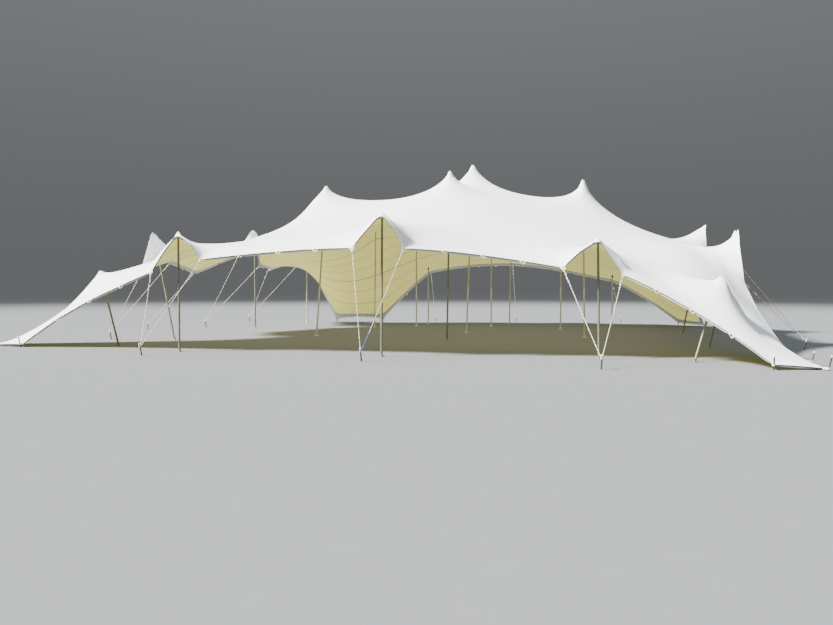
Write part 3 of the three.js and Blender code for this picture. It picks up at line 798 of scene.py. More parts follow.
def lift_at(across, back):
    """How far the cut of the cloth lies over an even net, in metres."""
    return sum(height * shift_share(across, back, loop, spread) for loop, height, spread in LIFTS)


def is_inner(loop):
    """Whether a place in the cloth lies inside its hem."""
    return 0 < loop[0] < LOOPS_WIDE and 0 < loop[1] < LOOPS_DEEP


def from_hem(across, back):
    """Distance to the nearest hem, in loops."""
    return np.minimum(np.minimum(across, LOOPS_WIDE - across), np.minimum(back, LOOPS_DEEP - back))


def find_net(pitch):
    """Rows of places on the sheet's inner face, NET_STEPS to a loop each way."""
    wide = LOOPS_WIDE * NET_STEPS
    deep = LOOPS_DEEP * NET_STEPS
    across, back = np.meshgrid(np.arange(wide + 1) / NET_STEPS, np.arange(deep + 1) / NET_STEPS)

    def node(loop):
        return round(loop[1] * NET_STEPS), round(loop[0] * NET_STEPS)

    def cone(u, v):
        """How much stiffer the net is near the poles."""
        total = np.ones(np.shape(u))
        for pole in POLES.values():
            away = np.maximum(np.hypot(u - pole.loop[0], v - pole.loop[1]), CONE_CORE)
            total += (pole.spread * CONE_REACH / away) ** CONE_POWER
        return total

    def pulls(hem, is_stiff):
        """How hard each step of the net pulls, across the sheet and to its back."""
        along = np.ones((deep + 1, wide))
        along[[0, -1]] = hem
        down = np.ones((deep, wide + 1))
        down[:, [0, -1]] = hem
        if is_stiff:
            half = 0.5 / NET_STEPS
            along *= cone(across[:, :-1] + half, back[:, :-1])
            down *= cone(across[:-1], back[:-1] + half)
        return along, down

    tops = [(pole.loop, pole.top) for pole in POLES.values()]
    inner = [(loop, top) for loop, top in tops if is_inner(loop)]
    hem_places = [(loop, top) for loop, top in tops if not is_inner(loop)]
    hem_places += [(tie[:2], tie[2:]) for _, ties in GUYS.values() for tie in ties]
    hem_places += [(anchor.loop, anchor.place) for anchor in ANCHORS.values()]
    hem_places += FREE_HOLDS
    x = (across - LOOPS_WIDE / 2) * pitch
    y = back * pitch
    z = np.full(x.shape, START_HEIGHT)
    held = np.zeros(x.shape, bool)
    for loop, place in hem_places:
        spot = node(loop)
        x[spot], y[spot], z[spot] = place
        held[spot] = True
    along, down = pulls(HEM_PULL, False)
    x = relax(along, down, held, x)
    y = relax(along, down, held, y)
    shares = np.array([[shift_share(*loop, other) for other, _ in inner] for loop, _ in inner])
    missing = np.array([[top[0] - x[node(loop)], top[1] - y[node(loop)]] for loop, top in inner])
    shifts = np.linalg.solve(shares, missing)
    for (loop, _), shift in zip(inner, shifts):
        share = shift_share(across, back, loop)
        x = x + share * shift[0]
        y = y + share * shift[1]
    for loop, top in inner:
        z[node(loop)] = top[2] - lift_at(*loop)
        held[node(loop)] = True
    along, down = pulls(HEM_LIFT, True)
    z = relax(along, down, held, z) + lift_at(across, back)
    return np.stack([x + ORIGIN.x, y + ORIGIN.y, z], -1)


class SheetForm:
    """The pulled sheet: a smooth surface through its net, asked for by place in the cloth."""

    def __init__(self, pitch):
        one_more = ((1, 1), (1, 1), (0, 0))
        self.padded = np.pad(find_net(pitch), one_more, mode="reflect", reflect_type="odd")

    @staticmethod
    def weights(t):
        """Shares of the four nearest rows in a smooth curve between the middle two."""
        square = t * t
        cube = square * t
        return ((-cube + 2 * square - t) / 2, (3 * cube - 5 * square + 2) / 2,
                (-3 * cube + 4 * square + t) / 2, (cube - square) / 2)

    def bare(self, across, back):
        """Points on the smooth surface itself."""
        across = np.clip(np.asarray(across, float), 0, LOOPS_WIDE) * NET_STEPS
        back = np.clip(np.asarray(back, float), 0, LOOPS_DEEP) * NET_STEPS
        i = np.minimum(across.astype(int), LOOPS_WIDE * NET_STEPS - 1)
        j = np.minimum(back.astype(int), LOOPS_DEEP * NET_STEPS - 1)
        along = self.weights(across - i)
        down = self.weights(back - j)
        total = 0
        for b in range(4):
            row = sum(along[a][..., None] * self.padded[j + b, i + a] for a in range(4))
            total = total + down[b][..., None] * row
        return total

    def place(self, across, back):
        """Points on the sheet's inner face, with its folds and pole heads worked in."""
        across = np.asarray(across, float)
        back = np.asarray(back, float)
        normal = self.slope_normal(self.bare, across, back)
        point = self.bare(across, back) + normal * creases(across, back)[..., None]
        return clear_heads(point + hem_noses(across, back))

    def normal(self, across, back):
        return self.slope_normal(self.place, across, back)

    @staticmethod
    def slope_normal(function, across, back, reach=0.03):
        """Outer face direction of a surface, from points at reach on all sides."""
        right = np.clip(across + reach, 0, LOOPS_WIDE)
        left = np.clip(across - reach, 0, LOOPS_WIDE)
        rear = np.clip(back + reach, 0, LOOPS_DEEP)
        front = np.clip(back - reach, 0, LOOPS_DEEP)
        turn = np.cross(function(right, back) - function(left, back),
                        function(across, rear) - function(across, front))
        return turn / np.linalg.norm(turn, axis=-1, keepdims=True)


def creases(across, back):
    """How far the pulled folds lift or sink the sheet, in metres."""
    total = np.zeros(np.shape(across))
    for path, depth, width in CREASES:
        nearest = np.full(np.shape(across), np.inf)
        reached = np.zeros(np.shape(across))
        travelled = 0
        for start, end in zip(path, path[1:]):
            run = np.subtract(end, start)
            length = float(np.hypot(*run))
            share = ((across - start[0]) * run[0] + (back - start[1]) * run[1]) / length ** 2
            share = np.clip(share, 0, 1)
            away = np.hypot(across - start[0] - share * run[0], back - start[1] - share * run[1])
            reached = np.where(away < nearest, travelled + share * length, reached)
            nearest = np.minimum(away, nearest)
            travelled += length
        reached = reached / travelled
        taper = np.minimum(1, np.minimum(reached / CREASE_START, (1 - reached) / CREASE_END))
        total += depth * taper * np.exp(-nearest / width)
    return total


def hem_noses(across, back):
    """The hem pushed out round the heads of the edge poles, so that the cloth covers them."""
    total = np.zeros(np.shape(across) + (3,))
    for u, v in (pole.loop for pole in POLES.values() if not is_inner(pole.loop)):
        outward = (0, -1, 0) if v == 0 else (-1 if u == 0 else 1, 0, 0)
        away = np.hypot(across - u, back - v) / NOSE_REACH
        total += NOSE * np.exp(-away * away)[..., None] * np.array(outward)
    return total


def head_ball(pole):
    """Middle of the ball at the top of a pole."""
    tip = local(pole.top)
    return tip - (tip - local(pole.foot)).normalized() * HEAD_R


def clear_heads(point):
    """Lifts the cloth where it would cut into the head of a pole."""
    point = point.copy()
    bend = HEAD_R / math.hypot(1, 1 / HEAD_FALL)
    for ball in map(head_ball, POLES.values()):
        away = np.hypot(point[..., 0] - ball.x, point[..., 1] - ball.y)
        near = away < HEAD_REACH
        inside = np.minimum(away[near], bend)
        rise = np.sqrt(HEAD_R ** 2 - inside ** 2) - (away[near] - inside) * HEAD_FALL
        gap = ball.z + rise + HEAD_CLEARANCE - point[..., 2][near]
        point[..., 2][near] += (gap + np.hypot(gap, HEAD_SOFT)) / 2
    return point


@functools.cache
def sheet_form(pitch):
    """The form that the sheet, its hem and its tie loops share."""
    return SheetForm(pitch)


def cloth_lines(count, fine, hem, seams, half):
    """Sorted cloth coordinates for the sheet's grid, with extra lines at the hem and the seams."""
    stops = sorted({0, count}.union(*[(low, high) for low, high, _ in fine]))
    lines = []
    for low, high in zip(stops, stops[1:]):
        step = min([size for start, end, size in fine if start <= low and high <= end] + [PLAIN_STEP])
        parts = math.ceil((high - low) / step - 1e-6)
        lines += [low + (high - low) * k / parts for k in range(parts)]
    borders = [hem, hem + EDGE_SLOPE, count - hem - EDGE_SLOPE, count - hem]
    lines = [line for line in lines if min(abs(line - border) for border in borders) > EDGE_ROOM]
    lines = [line for line in lines if min([abs(line - seam) for seam in seams] + [1]) > half * 1.8]
    for seam in seams:
        lines += [seam - half - EDGE_SLOPE, seam - half, seam, seam + half, seam + half + EDGE_SLOPE]
    return np.array(sorted({0, *lines, *borders, count}))


def gather_near_tips(across, back):
    """Draws the grid closer together round the pole tips, so that they come out round."""
    tips = [pole.loop for pole in POLES.values()]
    new_across = across.copy()
    new_back = back.copy()
    for tip in tips:
        reach = min(DRAW_REACH, 0.45 * min(math.dist(tip, other) for other in tips if other != tip))
        edge = from_hem(*tip)
        if edge > 0:
            reach = min(reach, edge * 0.85)
        away = np.hypot(across - tip[0], back - tip[1])
        draw = DRAW * np.clip(1 - away / reach, 0, 1) ** 2
        if 0 < tip[0] < LOOPS_WIDE:
            new_across -= draw * (across - tip[0])
        if 0 < tip[1] < LOOPS_DEEP:
            new_back -= draw * (back - tip[1])
    return new_across, new_back


# The steps that dress the tent


class TENT_OT_sheet(bpy.types.Operator):
    """Builds the stretched sheet, one closed cloth with lapped seams and a doubled hem"""
    bl_idname = "tent.sheet"
    bl_label = "Sheet"

    def execute(self, context):
        settings = context.scene.tent_sheet
        pitch = settings.loop_pitch
        across, back, lift = self.grid(settings, pitch)
        form = sheet_form(pitch)
        inner = form.place(across, back)
        normal = form.normal(across, back)
        low = settings.cloth_lift
        high = low + settings.cloth_thickness
        outer = inner + normal * (high + lift)[..., None]
        inner = inner + normal * (low - lift)[..., None]
        shape = Shape()
        shape.points = np.concatenate([outer.reshape(-1, 3), inner.reshape(-1, 3)]).tolist()
        for slot, faces in enumerate(self.faces(*across.shape)):
            shape.faces += faces.tolist()
            shape.slots += [slot] * len(faces)
        obj = shape.piece("stretch_sheet", [
            cloth_finish("outer cloth", settings.outer_colour, settings, True),
            cloth_finish("inner cloth", settings.inner_colour, settings, False),
            hem_finish(settings.outer_colour)], 50)
        layer = obj.data.uv_layers.new(name="cloth")
        corner = np.zeros(len(obj.data.loops), int)
        obj.data.loops.foreach_get("vertex_index", corner)
        cloth = np.stack([across, back], -1).reshape(-1, 2) * pitch
        layer.data.foreach_set("uv", np.concatenate([cloth, cloth])[corner].reshape(-1))
        settle(obj, "fabric", *STRIPS)
        return {"FINISHED"}

    def grid(self, settings, pitch):
        """Cloth coordinates of the sheet's points, and how far each face stands proud there."""
        spacing = settings.seam_spacing / pitch
        seams = [spacing * k for k in range(1, int(LOOPS_DEEP / spacing) + 1)
                 if spacing * k < LOOPS_DEEP - 0.5]
        half = settings.seam_width / 2 / pitch
        hem = settings.hem_width / pitch
        across, back = np.meshgrid(cloth_lines(LOOPS_WIDE, FINE_ACROSS, hem, [], half),
                                   cloth_lines(LOOPS_DEEP, FINE_BACK, hem, seams, half))
        lift = np.zeros(across.shape)
        for seam in seams:
            lift += np.where(np.abs(back - seam) < half + 0.001, settings.seam_raise, 0)
        lift = np.where(from_hem(across, back) < hem + 0.001, settings.hem_raise, lift)
        return *gather_near_tips(across, back), lift

    def faces(self, deep, wide):
        """Faces of the outer side, the inner side and the edge between them."""
        count = deep * wide
        index = np.arange(count).reshape(deep, wide)
        a, b, c, d = index[:-1, :-1], index[:-1, 1:], index[1:, 1:], index[1:, :-1]
        top = np.stack([a, b, c, d], -1).reshape(-1, 4)
        under = np.stack([a, d, c, b], -1).reshape(-1, 4) + count
        rim = np.concatenate([index[0], index[1:, -1], index[-1, -2::-1], index[-2:0:-1, 0]])
        following = np.roll(rim, -1)
        return top, under, np.stack([rim, rim + count, following + count, following], -1)


class TENT_OT_hem(bpy.types.Operator):
    """Adds a dark tube under the edge of the hem and the facing, painted grey as painted shade, that droops
    behind it
    """
    bl_idname = "tent.hem"
    bl_label = "Hem dark line and facing"

    def execute(self, context):
        settings = context.scene.tent_sheet
        form = sheet_form(settings.loop_pitch)
        # A thin dark tube just under the hem's edge draws a dark line there
        dark_line = [Vector(point - normal * DARK_LINE_R) for _, point, normal in self.edge(form, 1 / 8, 0.008)]
        shape = Shape()
        shape.tube(dark_line + dark_line[:1], DARK_LINE_R, 6)
        finish = webbing_finish("dark hem line", settings.dark_line_colour)
        settle(shape.piece("hem_dark_line", [finish]), "fabric")
        shape = Shape()
        self.facing(shape, self.edge(form, 1 / 16, 0.03), settings.facing_droop)
        # The facing is white cloth painted grey as painted shade, with a painted glow for daylight through
        # it
        finish = webbing_finish("hem facing", settings.shaded_facing_colour, 0.008, settings.facing_glow)
        settle(shape.piece("hem_facing", [finish]), "fabric")
        return {"FINISHED"}

    def edge(self, form, step, inset):
        """Cloth distance round the hem, place and face direction at each step."""
        wide = np.arange(0, LOOPS_WIDE, step)
        deep = np.arange(0, LOOPS_DEEP, step)
        across = [wide, np.full_like(deep, LOOPS_WIDE), LOOPS_WIDE - wide, np.zeros_like(deep)]
        back = [np.zeros_like(wide), deep, np.full_like(wide, LOOPS_DEEP), LOOPS_DEEP - deep]
        across = np.clip(np.concatenate(across), inset, LOOPS_WIDE - inset)
        back = np.clip(np.concatenate(back), inset, LOOPS_DEEP - inset)
        return list(zip(np.arange(len(across)) * step, form.place(across, back), form.normal(across, back)))

    def facing(self, shape, edge, droop):
        """A thin band that droops under the edge and is caught up at each tie loop."""
        points = []
        for k, (gone, point, normal) in enumerate(edge):
            ahead = edge[(k + 1) % len(edge)][1] - edge[k - 1][1]
            along = flat(ahead[0], ahead[1])
            through = Vector((along.y, -along.x, 0)) * FACING_HALF
            top = Vector(point) - Vector(normal) * SEWN_DEPTH
            # It hangs less beside a loop, stays off the ground and waves a little
            drop = droop * min(1, 0.35 + abs(gone - round(gone)) * 5)
            drop = max(0.004, min(drop, top.z - 0.03))
            low = top - UP * drop + through * (3 * math.sin(gone * 5.3))
            points += [top - through, top + through, low + through, low - through]
        shape.add(points, bands(len(edge), 4, True))


def stake_axis(pull):
    """A stake leans away from what it holds."""
    lean = flat(pull[0], pull[1]) * STAKE_LEAN
    return Vector((lean.x, lean.y, 1)).normalized()


def ring_place(foot, ties):
    """The middle of the rope's turns round a guy's stake, and the stake's axis."""
    foot = local(foot)
    middle = sum((local(tie[2:4]) for tie in ties), Vector()) / len(ties)
    axis = stake_axis(foot - middle)
    return foot + axis * RING_HEIGHT, axis


def anchor_foot(anchor):
    """Foot and axis of a stake that holds the hem at the ground."""
    pull = flat(*anchor.pull)
    axis = stake_axis(pull)
    held = local(anchor.place) + pull * (TAB_LENGTH + STAKE_R)
    return held - axis * (held.z / axis.z), axis


def tie_loops():
    """Places of the tie loops in the cloth, and the ways in which ropes and stakes pull at some."""
    pulled = {}
    for foot, ties in GUYS.values():
        centre, _ = ring_place(foot, ties)
        for tie in ties:
            pulled[tie[:2]] = (centre - local(tie[2:])).normalized()
    held = {anchor.loop: flat(*anchor.pull) for anchor in ANCHORS.values()}
    loops = [(u, v) for v in (0, LOOPS_DEEP) for u in range(LOOPS_WIDE + 1)]
    loops += [(u, v) for u in (0, LOOPS_WIDE) for v in range(1, LOOPS_DEEP)]
    loops = [loop for loop in loops if loop in pulled or loop in held
             or min(math.dist(loop, pole.loop) for pole in POLES.values()) > 0.6]
    return loops, pulled, held


Seat = namedtuple("Seat", "place normal tangent outward")


def hem_seat(form, loop):
    """The place of a tie loop on the hem, and the directions there."""
    def at(function, u, v):
        return function(np.array([u], float), np.array([v], float))[0]

    u, v = loop
    if v in (0, LOOPS_DEEP):
        ends = (min(u + 0.1, LOOPS_WIDE), v), (max(u - 0.1, 0), v)
    else:
        ends = (u, min(v + 0.1, LOOPS_DEEP)), (u, max(v - 0.1, 0))
    place = Vector(at(form.place, u, v))
    normal = Vector(at(form.normal, u, v))
    tangent = Vector(at(form.place, *ends[0]) - at(form.place, *ends[1])).normalized()
    outward = tangent.cross(normal).normalized()
    if outward.dot(place - Vector(at(form.place, LOOPS_WIDE / 2, LOOPS_DEEP / 2))) < 0:
        outward = -outward
    return Seat(place, normal, tangent, outward)


class TENT_OT_tabs(bpy.types.Operator):
    """Sews a webbing tie loop to the hem at each loop place that is pulled, held or clear of the poles"""
    bl_idname = "tent.tabs"
    bl_label = "Tie loops"

    def execute(self, context):
        settings = context.scene.tent_tabs
        thickness = settings.webbing_thickness
        form = sheet_form(context.scene.tent_sheet.loop_pitch)
        shape = Shape()
        loops, pulled, held = tie_loops()
        for number, loop in enumerate(loops):
            seat = hem_seat(form, loop)
            if loop in held:
                sections = self.strap(seat, held[loop], thickness)
            elif loop in pulled:
                length = TAB_LENGTH + KNOT_R
                sections = self.legs(seat, pulled[loop], length, settings.leg_spread * 0.6, thickness)
            else:
                swing = 0.25 * math.sin(number * 2.4)
                direction = (seat.outward * 0.35 - UP + seat.tangent * swing).normalized()
                length = settings.loop_length * (1 + 0.12 * math.sin(number * 5.1))
                sections = self.legs(seat, direction, length, settings.leg_spread, thickness)
            shape.ribbon(sections, settings.webbing_width, thickness)
        finish = webbing_finish("white webbing", settings.webbing_colour)
        settle(shape.piece("tie_loops", [finish], 55), "fabric")
        return {"FINISHED"}

    def legs(self, seat, direction, length, spread, thickness):
        """Two flat legs sewn inside the hem that meet in a fold."""
        place, normal, tangent, outward = seat
        face = tangent.cross(direction).normalized()
        tip = place + direction * length
        sections = []
        for side in (-1, 1):
            sewn = place - outward * 0.045 + tangent * (side * spread / 2) - normal * SEWN_DEPTH
            edge = place + outward * 0.004 + tangent * (side * spread / 2) - normal * SEWN_DEPTH
            leg = [(sewn, tangent, normal), (edge, tangent, normal)]
            for t in (0.25, 0.5, 0.75, 0.95):
                bulge = face * (side * (thickness * 0.75 + 0.012 * math.sin(math.pi * t)))
                middle = edge.lerp(tip, t) + bulge + tangent * (side * 0.006 * math.sin(math.pi * t))
                leg.append((middle, tangent + direction * (-0.3 * side), face))
            if side == -1:
                sections = leg + [(tip + direction * 0.004, tangent, direction)]
            else:
                sections += [(centre, across, -out) for centre, across, out in reversed(leg)]
        return sections

    def strap(self, seat, pull, thickness):
        """A strap from the hem round a stake and back."""
        axis = stake_axis(pull)
        side = axis.cross(pull).normalized()
        stake = seat.place + pull * (TAB_LENGTH + STAKE_R)
        reach = STAKE_R + thickness

        def run(way):
            return [seat.place - pull * 0.03 + side * (0.022 * way) - seat.normal * SEWN_DEPTH,
                    seat.place + pull * 0.01 + side * (0.022 * way),
                    stake + side * (reach * way) - pull * 0.01]

        turn = [stake + side * (reach * math.cos(angle)) + pull * (reach * math.sin(angle))
                for angle in (math.pi * k / STRAP_TURN for k in range(STRAP_TURN + 1))]
        centres = run(1) + turn + run(-1)[::-1]
        return [(centre, axis, step.cross(axis)) for centre, step in zip(centres, steps_along(centres))]


class TENT_OT_poles(bpy.types.Operator):
    """Builds the galvanised poles with their heads, sleeves and foot plates"""
    bl_idname = "tent.poles"
    bl_label = "Poles"

    def execute(self, context):
        settings = context.scene.tent_poles
        # Two copies of one zinc: painted light for the middle and back poles, painted shade for the front
        # and side poles
        lit_steel = galvanised_finish("galvanised steel", settings.lit_steel_colour)
        dull = galvanised_finish("steel in painted shade", settings.shaded_steel_colour)
        rubber = worn_finish("black rubber", **RUBBER)
        zinc = worn_finish("zinc bolts", **ZINC)
        for name, pole in POLES.items():
            base = local(pole.foot)
            run = head_ball(pole) - base
            shape = Shape()
            self.foot(shape, base, settings)
            self.tube(shape, base, run.normalized(), run.length + HEAD_R, settings)
            steel = dull if name.startswith(SHADED_POLES) else lit_steel
            settle(shape.piece(f"{name}_tube", [steel, rubber, zinc], 38), "pole", name)
        return {"FINISHED"}

    def foot(self, shape, base, settings):
        """The foot plate with its bolts, and the socket with its set screw."""
        plate = settings.plate_radius
        thick = settings.plate_thickness
        socket = settings.socket_radius
        rim = settings.socket_height
        bore = settings.tube_radius
        shape.turned([(0, plate - 0.001), (0.001, plate), (thick - 0.002, plate), (thick, plate - 0.002),
                      (thick, socket)], base, UP, 40)
        shape.turned([(thick - 0.001, socket + 0.007), (thick + 0.004, socket + 0.003),
                      (thick + 0.008, socket), (rim - 0.002, socket), (rim, socket - 0.002),
                      (rim, bore + 0.001), (rim - 0.01, bore)], base, UP, 32)
        for k in range(4):
            spot = around(base, RIGHT, BACK, plate - 0.019, math.pi / 4 + k * math.pi / 2)
            shape.turned([(thick + along, radius) for along, radius in PLATE_BOLT], spot, UP, 12, 2)
        out = around(Vector(), RIGHT, BACK, 1, SCREW_TURN)
        spot = base + out * (socket - 0.002) + UP * (rim - 0.022)
        shape.turned(SOCKET_BOLT, spot, out, 6, 2)

    def tube(self, shape, base, axis, length, settings):
        """The pole's tube, its joining sleeve with two bolts, and the rubber head."""
        radius = settings.tube_radius
        sleeve = settings.sleeve_radius
        join = length * JOIN_SHARE
        low = join - settings.sleeve_length / 2
        high = join + settings.sleeve_length / 2
        top = length - 0.05

        def plain(start, end):
            return [(start + (end - start) * k / TUBE_RINGS, radius) for k in range(TUBE_RINGS + 1)]

        collar = [(low, sleeve - 0.001), (low + 0.001, sleeve),
                  (high - 0.001, sleeve), (high, sleeve - 0.001)]
        shape.turned(plain(TUBE_START, low) + collar + plain(high, top), base, axis, 24)
        side = axis.orthogonal().normalized()
        for offset in (-0.04, 0.04):
            spot = base + axis * (join + offset) + side * (sleeve - 0.002)
            shape.turned(SLEEVE_BOLT, spot, side, 6, 2)
        cap = [(top - 0.06, radius + 0.001), (top - 0.059, radius + 0.004), (top - 0.02, radius + 0.004)]
        cap += dome(length - HEAD_R, HEAD_R, HEAD_R, (-20, 0, 20, 40, 55, 70, 82, 89))
        shape.turned(cap, base, axis, 24, 1)


def helix(centre, axis, radius, pitch, turns, start_angle, per_turn=14):
    """Points of a helix round an axis."""
    side = axis.orthogonal().normalized()
    up = axis.cross(side)
    points = []
    count = int(turns * per_turn)
    for k in range(count + 1):
        angle = start_angle + 2 * math.pi * turns * k / count
        along = pitch * (turns * k / count - turns / 2)
        points.append(around(centre + axis * along, side, up, radius, angle))
    return points


class TENT_OT_ropes(bpy.types.Operator):
    """Lays the rope guys with their knots, doubled ends and turns round the stakes"""
    bl_idname = "tent.ropes"
    bl_label = "Rope guys"

    def execute(self, context):
        settings = context.scene.tent_ropes
        radius = settings.rope_radius
        white = rope_finish("off-white rope", settings.rope_colour)
        blue = rope_finish("blue rope", settings.blue_colour)
        for name, (foot, ties) in GUYS.items():
            centre, axis = ring_place(foot, ties)
            shape = Shape()
            turns = helix(centre, axis, STAKE_R + radius + 0.0005, radius * 2.05, 3, 0)
            shape.tube(turns, radius, 10, 0, settings.lay_length, 0.12)
            for number, tie in enumerate(ties):
                is_blue = name == "front_centre" and number == 1
                place = local(tie[2:])
                knot = place + (centre - place).normalized() * (TAB_LENGTH + KNOT_R + GAP)
                outward = knot - centre
                outward = (outward - axis * outward.dot(axis)).normalized() * RING_R
                end = centre + outward + axis * (0.012 * (number - 0.5))
                self.leg(shape, knot, end, settings, is_blue)
            settle(shape.piece(f"{name}_guy_laid_rope", [white, blue], 60), "rope", f"{name}_guy_rope")
        return {"FINISHED"}

    def leg(self, shape, knot, end, settings, is_blue):
        """One rope from its knot to the stake, with a slight sag."""
        radius = settings.rope_radius
        run = end - knot
        length = run.length
        along = run / length
        split = length - settings.blue_length if is_blue else length

        def point(distance):
            t = distance / length
            return knot + run * t - UP * (ROPE_SAG * length * 4 * t * (1 - t))

        def stretch(start, reach, steps):
            return [point(start + reach * k / steps) for k in range(steps + 1)]

        first = stretch(0, split, max(24, int(length / ROPE_STEP)))
        shape.tube(first, radius, 12, 0, settings.lay_length, 0.13)
        if is_blue:
            rest = stretch(split, length - split, int(settings.blue_length / ROPE_STEP))
            shape.tube(rest, radius * 1.02, 12, 1, settings.lay_length, 0.13)
            shape.tube(helix(point(split), along, radius * 1.6, radius * 1.5, 3.5, 0), radius * 0.8, 8, 1)
        self.bend(shape, knot, along, radius)
        self.doubled(shape, point, along, radius, length)
        hitch = helix(point(length - 0.07), along, radius * 1.7, radius * 1.9, 2.5, 1)
        shape.tube(hitch, radius * 0.95, 10, 1 if is_blue else 0)

    def bend(self, shape, knot, along, radius):
        """The loop through the webbing and the wraps that close it."""
        side = along.cross(UP).normalized()
        eye = [knot - along * (0.017 + 0.017 * math.cos(angle)) + side * (0.012 * math.sin(angle))
               for angle in (2 * math.pi * k / 20 for k in range(21))]
        shape.tube(eye, radius * 0.92, 10)
        wraps = helix(knot + along * 0.012, along, radius * 1.55, radius * 1.8, 2.6, 0.4)
        shape.tube(wraps, radius * 0.95, 10)

    def doubled(self, shape, point, along, radius, length):
        """The rope's own tail lying along it below the knot, seized at its end."""
        side = along.orthogonal().normalized()
        up = along.cross(side)
        reach = min(0.34, length * 0.2)
        start = 0.02
        tail = [around(point(start + reach * t), side, up, radius * 2, 2 * math.pi * 1.5 * t)
                for t in (k / 24 for k in range(25))]
        shape.tube(tail, radius * 0.96, 10, 0, 0.05, 0.12)
        seizing = helix(point(start + reach * 0.93), along, radius * 2.6, radius * 0.9, 4, 0, 12)
        shape.tube(seizing, radius * 0.5, 8)


class TENT_OT_stakes(bpy.types.Operator):
    """Drives the steel stakes and puts their caps on"""
    bl_idname = "tent.stakes"
    bl_label = "Stakes"

    def execute(self, context):
        settings = context.scene.tent_stakes
        steel = stake_finish(settings.steel_colour)
        colour = settings.cap_colour
        plastic = worn_finish("pale plastic cap", colour, tint(colour, 0.55), **PLASTIC)
        stakes = {f"{name}_stake": (local(foot), ring_place(foot, ties)[1])
                  for name, (foot, ties) in GUYS.items()}
        stakes.update({name: anchor_foot(anchor) for name, anchor in ANCHORS.items()})
        for name, (foot, axis) in stakes.items():
            shape = Shape()
            self.bar(shape, foot, axis)
            self.cap(shape, foot, axis, settings)
            settle(shape.piece(f"{name}_bar", [steel, plastic], 35), "stake", name)
        return {"FINISHED"}

    def bar(self, shape, foot, axis):
        """The round bar, cut off level with the ground."""
        profile = [(-0.01 + (STAKE_LENGTH - 0.008) * k / 8, STAKE_R) for k in range(9)]
        profile += [(STAKE_LENGTH - 0.012, STAKE_R + 0.001), (STAKE_LENGTH - 0.01, STAKE_R - 0.002)]
        shape.turned(profile, foot, axis, 20)
        shape.points = [(x, y, max(0.0, z)) for x, y, z in shape.points]

    def cap(self, shape, foot, axis, settings):
        cap = settings.cap_radius
        rise = settings.cap_height
        start = STAKE_LENGTH - rise
        profile = [(start, STAKE_R + 0.0012), (start, cap - 0.0015), (start + 0.002, cap),
                   (start + 0.006, cap), (start + 0.008, cap - 0.0015), (start + rise * 0.6, cap - 0.002)]
        profile += dome(start + rise * 0.6, rise * 0.4, cap - 0.002, (0, 25, 50, 70, 85))
        shape.turned(profile, foot, axis, 24, 1)


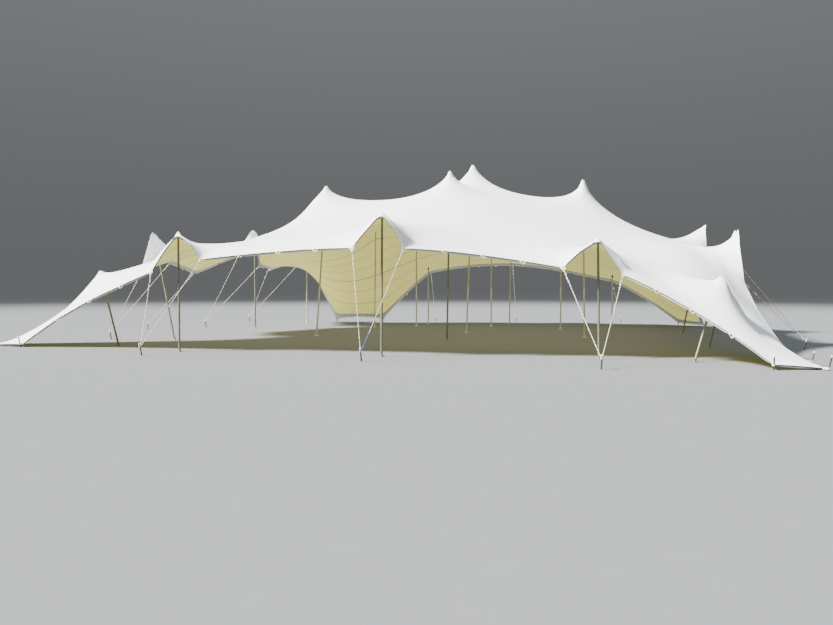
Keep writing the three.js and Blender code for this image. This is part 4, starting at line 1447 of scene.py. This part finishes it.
class TENT_OT_stage(bpy.types.Operator):
    """Sets the floor with its curved rim, the lights and the camera"""
    bl_idname = "tent.stage"
    bl_label = "Stage"

    def execute(self, context):
        settings = context.scene.tent_stage
        self.floor(settings)
        sun = bpy.data.lights.new("soft key", "SUN")
        sun.energy = settings.sun_strength
        sun.angle = math.radians(SUN_SPREAD)
        sun.color = settings.sun_colour
        new_object("soft key", sun).rotation_euler = Vector(SUN_WAY).to_track_quat("-Z", "Y").to_euler()
        fill = bpy.data.lights.new("soft fill", "AREA")
        fill.energy = settings.fill_power
        fill.shape = "RECTANGLE"
        fill.size = settings.fill_width
        fill.size_y = settings.fill_depth
        lamp = new_object("soft fill", fill)
        lamp.location = (0, 0, settings.fill_height)
        lamp.visible_camera = False
        world = bpy.data.worlds.new("even light")
        world.use_nodes = True
        shade = world.node_tree.nodes["Background"]
        shade.inputs["Color"].default_value = (*settings.sky_colour, 1)
        shade.inputs["Strength"].default_value = settings.sky_strength
        context.scene.world = world
        lens = bpy.data.cameras.new("photo view")
        lens.sensor_fit = "HORIZONTAL"
        lens.sensor_width = SENSOR_WIDTH
        lens.lens = SENSOR_WIDTH * FOCAL_PIXELS / IMAGE_WIDTH
        lens.clip_end = 400
        camera = new_object("photo view", lens)
        camera.location = local(CAMERA_PLACE)
        camera.rotation_euler = (math.radians(90 - CAMERA_DIP), 0, math.radians(CAMERA_TURN))
        context.scene.camera = camera
        return {"FINISHED"}

    def floor(self, settings):
        """A round floor that bends up into an upright rim."""
        flat_radius = settings.floor_radius
        sides = 96
        bend = 14
        profile = [(0.5, 0)] + [(flat_radius * k / 8, 0) for k in range(1, 9)]
        for k in range(1, 11):
            angle = math.radians(9 * k)
            profile.append((flat_radius + bend * math.sin(angle), bend * (1 - math.cos(angle))))
        profile.append((flat_radius + bend, settings.rim_height))
        turns = [2 * math.pi * k / sides for k in range(sides)]
        shape = Shape()
        shape.add([(radius * math.cos(angle), radius * math.sin(angle), height)
                   for radius, height in profile for angle in turns],
                  bands(len(profile), sides) + [tuple(range(sides))])
        finish = floor_finish(settings.floor_colour, settings.rim_colour)
        obj = shape.piece("pale_floor", [finish], 30)
        obj.visible_shadow = False


class TENT_PT_panel(bpy.types.Panel):
    """Lists the steps that dress the tent"""
    bl_idname = "TENT_PT_panel"
    bl_label = "Stretch tent"
    bl_space_type = "VIEW_3D"
    bl_region_type = "UI"
    bl_category = "Stretch tent"

    def draw(self, context):
        for step in STEPS:
            self.layout.operator(step.bl_idname)
        for attribute, group in SETTINGS.items():
            box = self.layout.box()
            for name in group.__annotations__:
                box.prop(getattr(context.scene, attribute), name)


STEPS = [TENT_OT_stage, TENT_OT_sheet, TENT_OT_hem, TENT_OT_tabs, TENT_OT_poles, TENT_OT_ropes,
         TENT_OT_stakes]
CLASSES = [*SETTINGS.values(), *STEPS, TENT_PT_panel]


def register():
    for group in CLASSES:
        bpy.utils.register_class(group)
    for attribute, group in SETTINGS.items():
        setattr(bpy.types.Scene, attribute, bpy.props.PointerProperty(type=group))


def unregister():
    for attribute in SETTINGS:
        delattr(bpy.types.Scene, attribute)
    for group in reversed(CLASSES):
        bpy.utils.unregister_class(group)


def main():
    register()
    bpy.ops.tent.stage()
    bpy.ops.tent.sheet()
    bpy.ops.tent.hem()
    bpy.ops.tent.tabs()
    bpy.ops.tent.poles()
    bpy.ops.tent.ropes()
    bpy.ops.tent.stakes()
    bpy.context.view_layer.update()


if __name__ == "__main__":
    main()
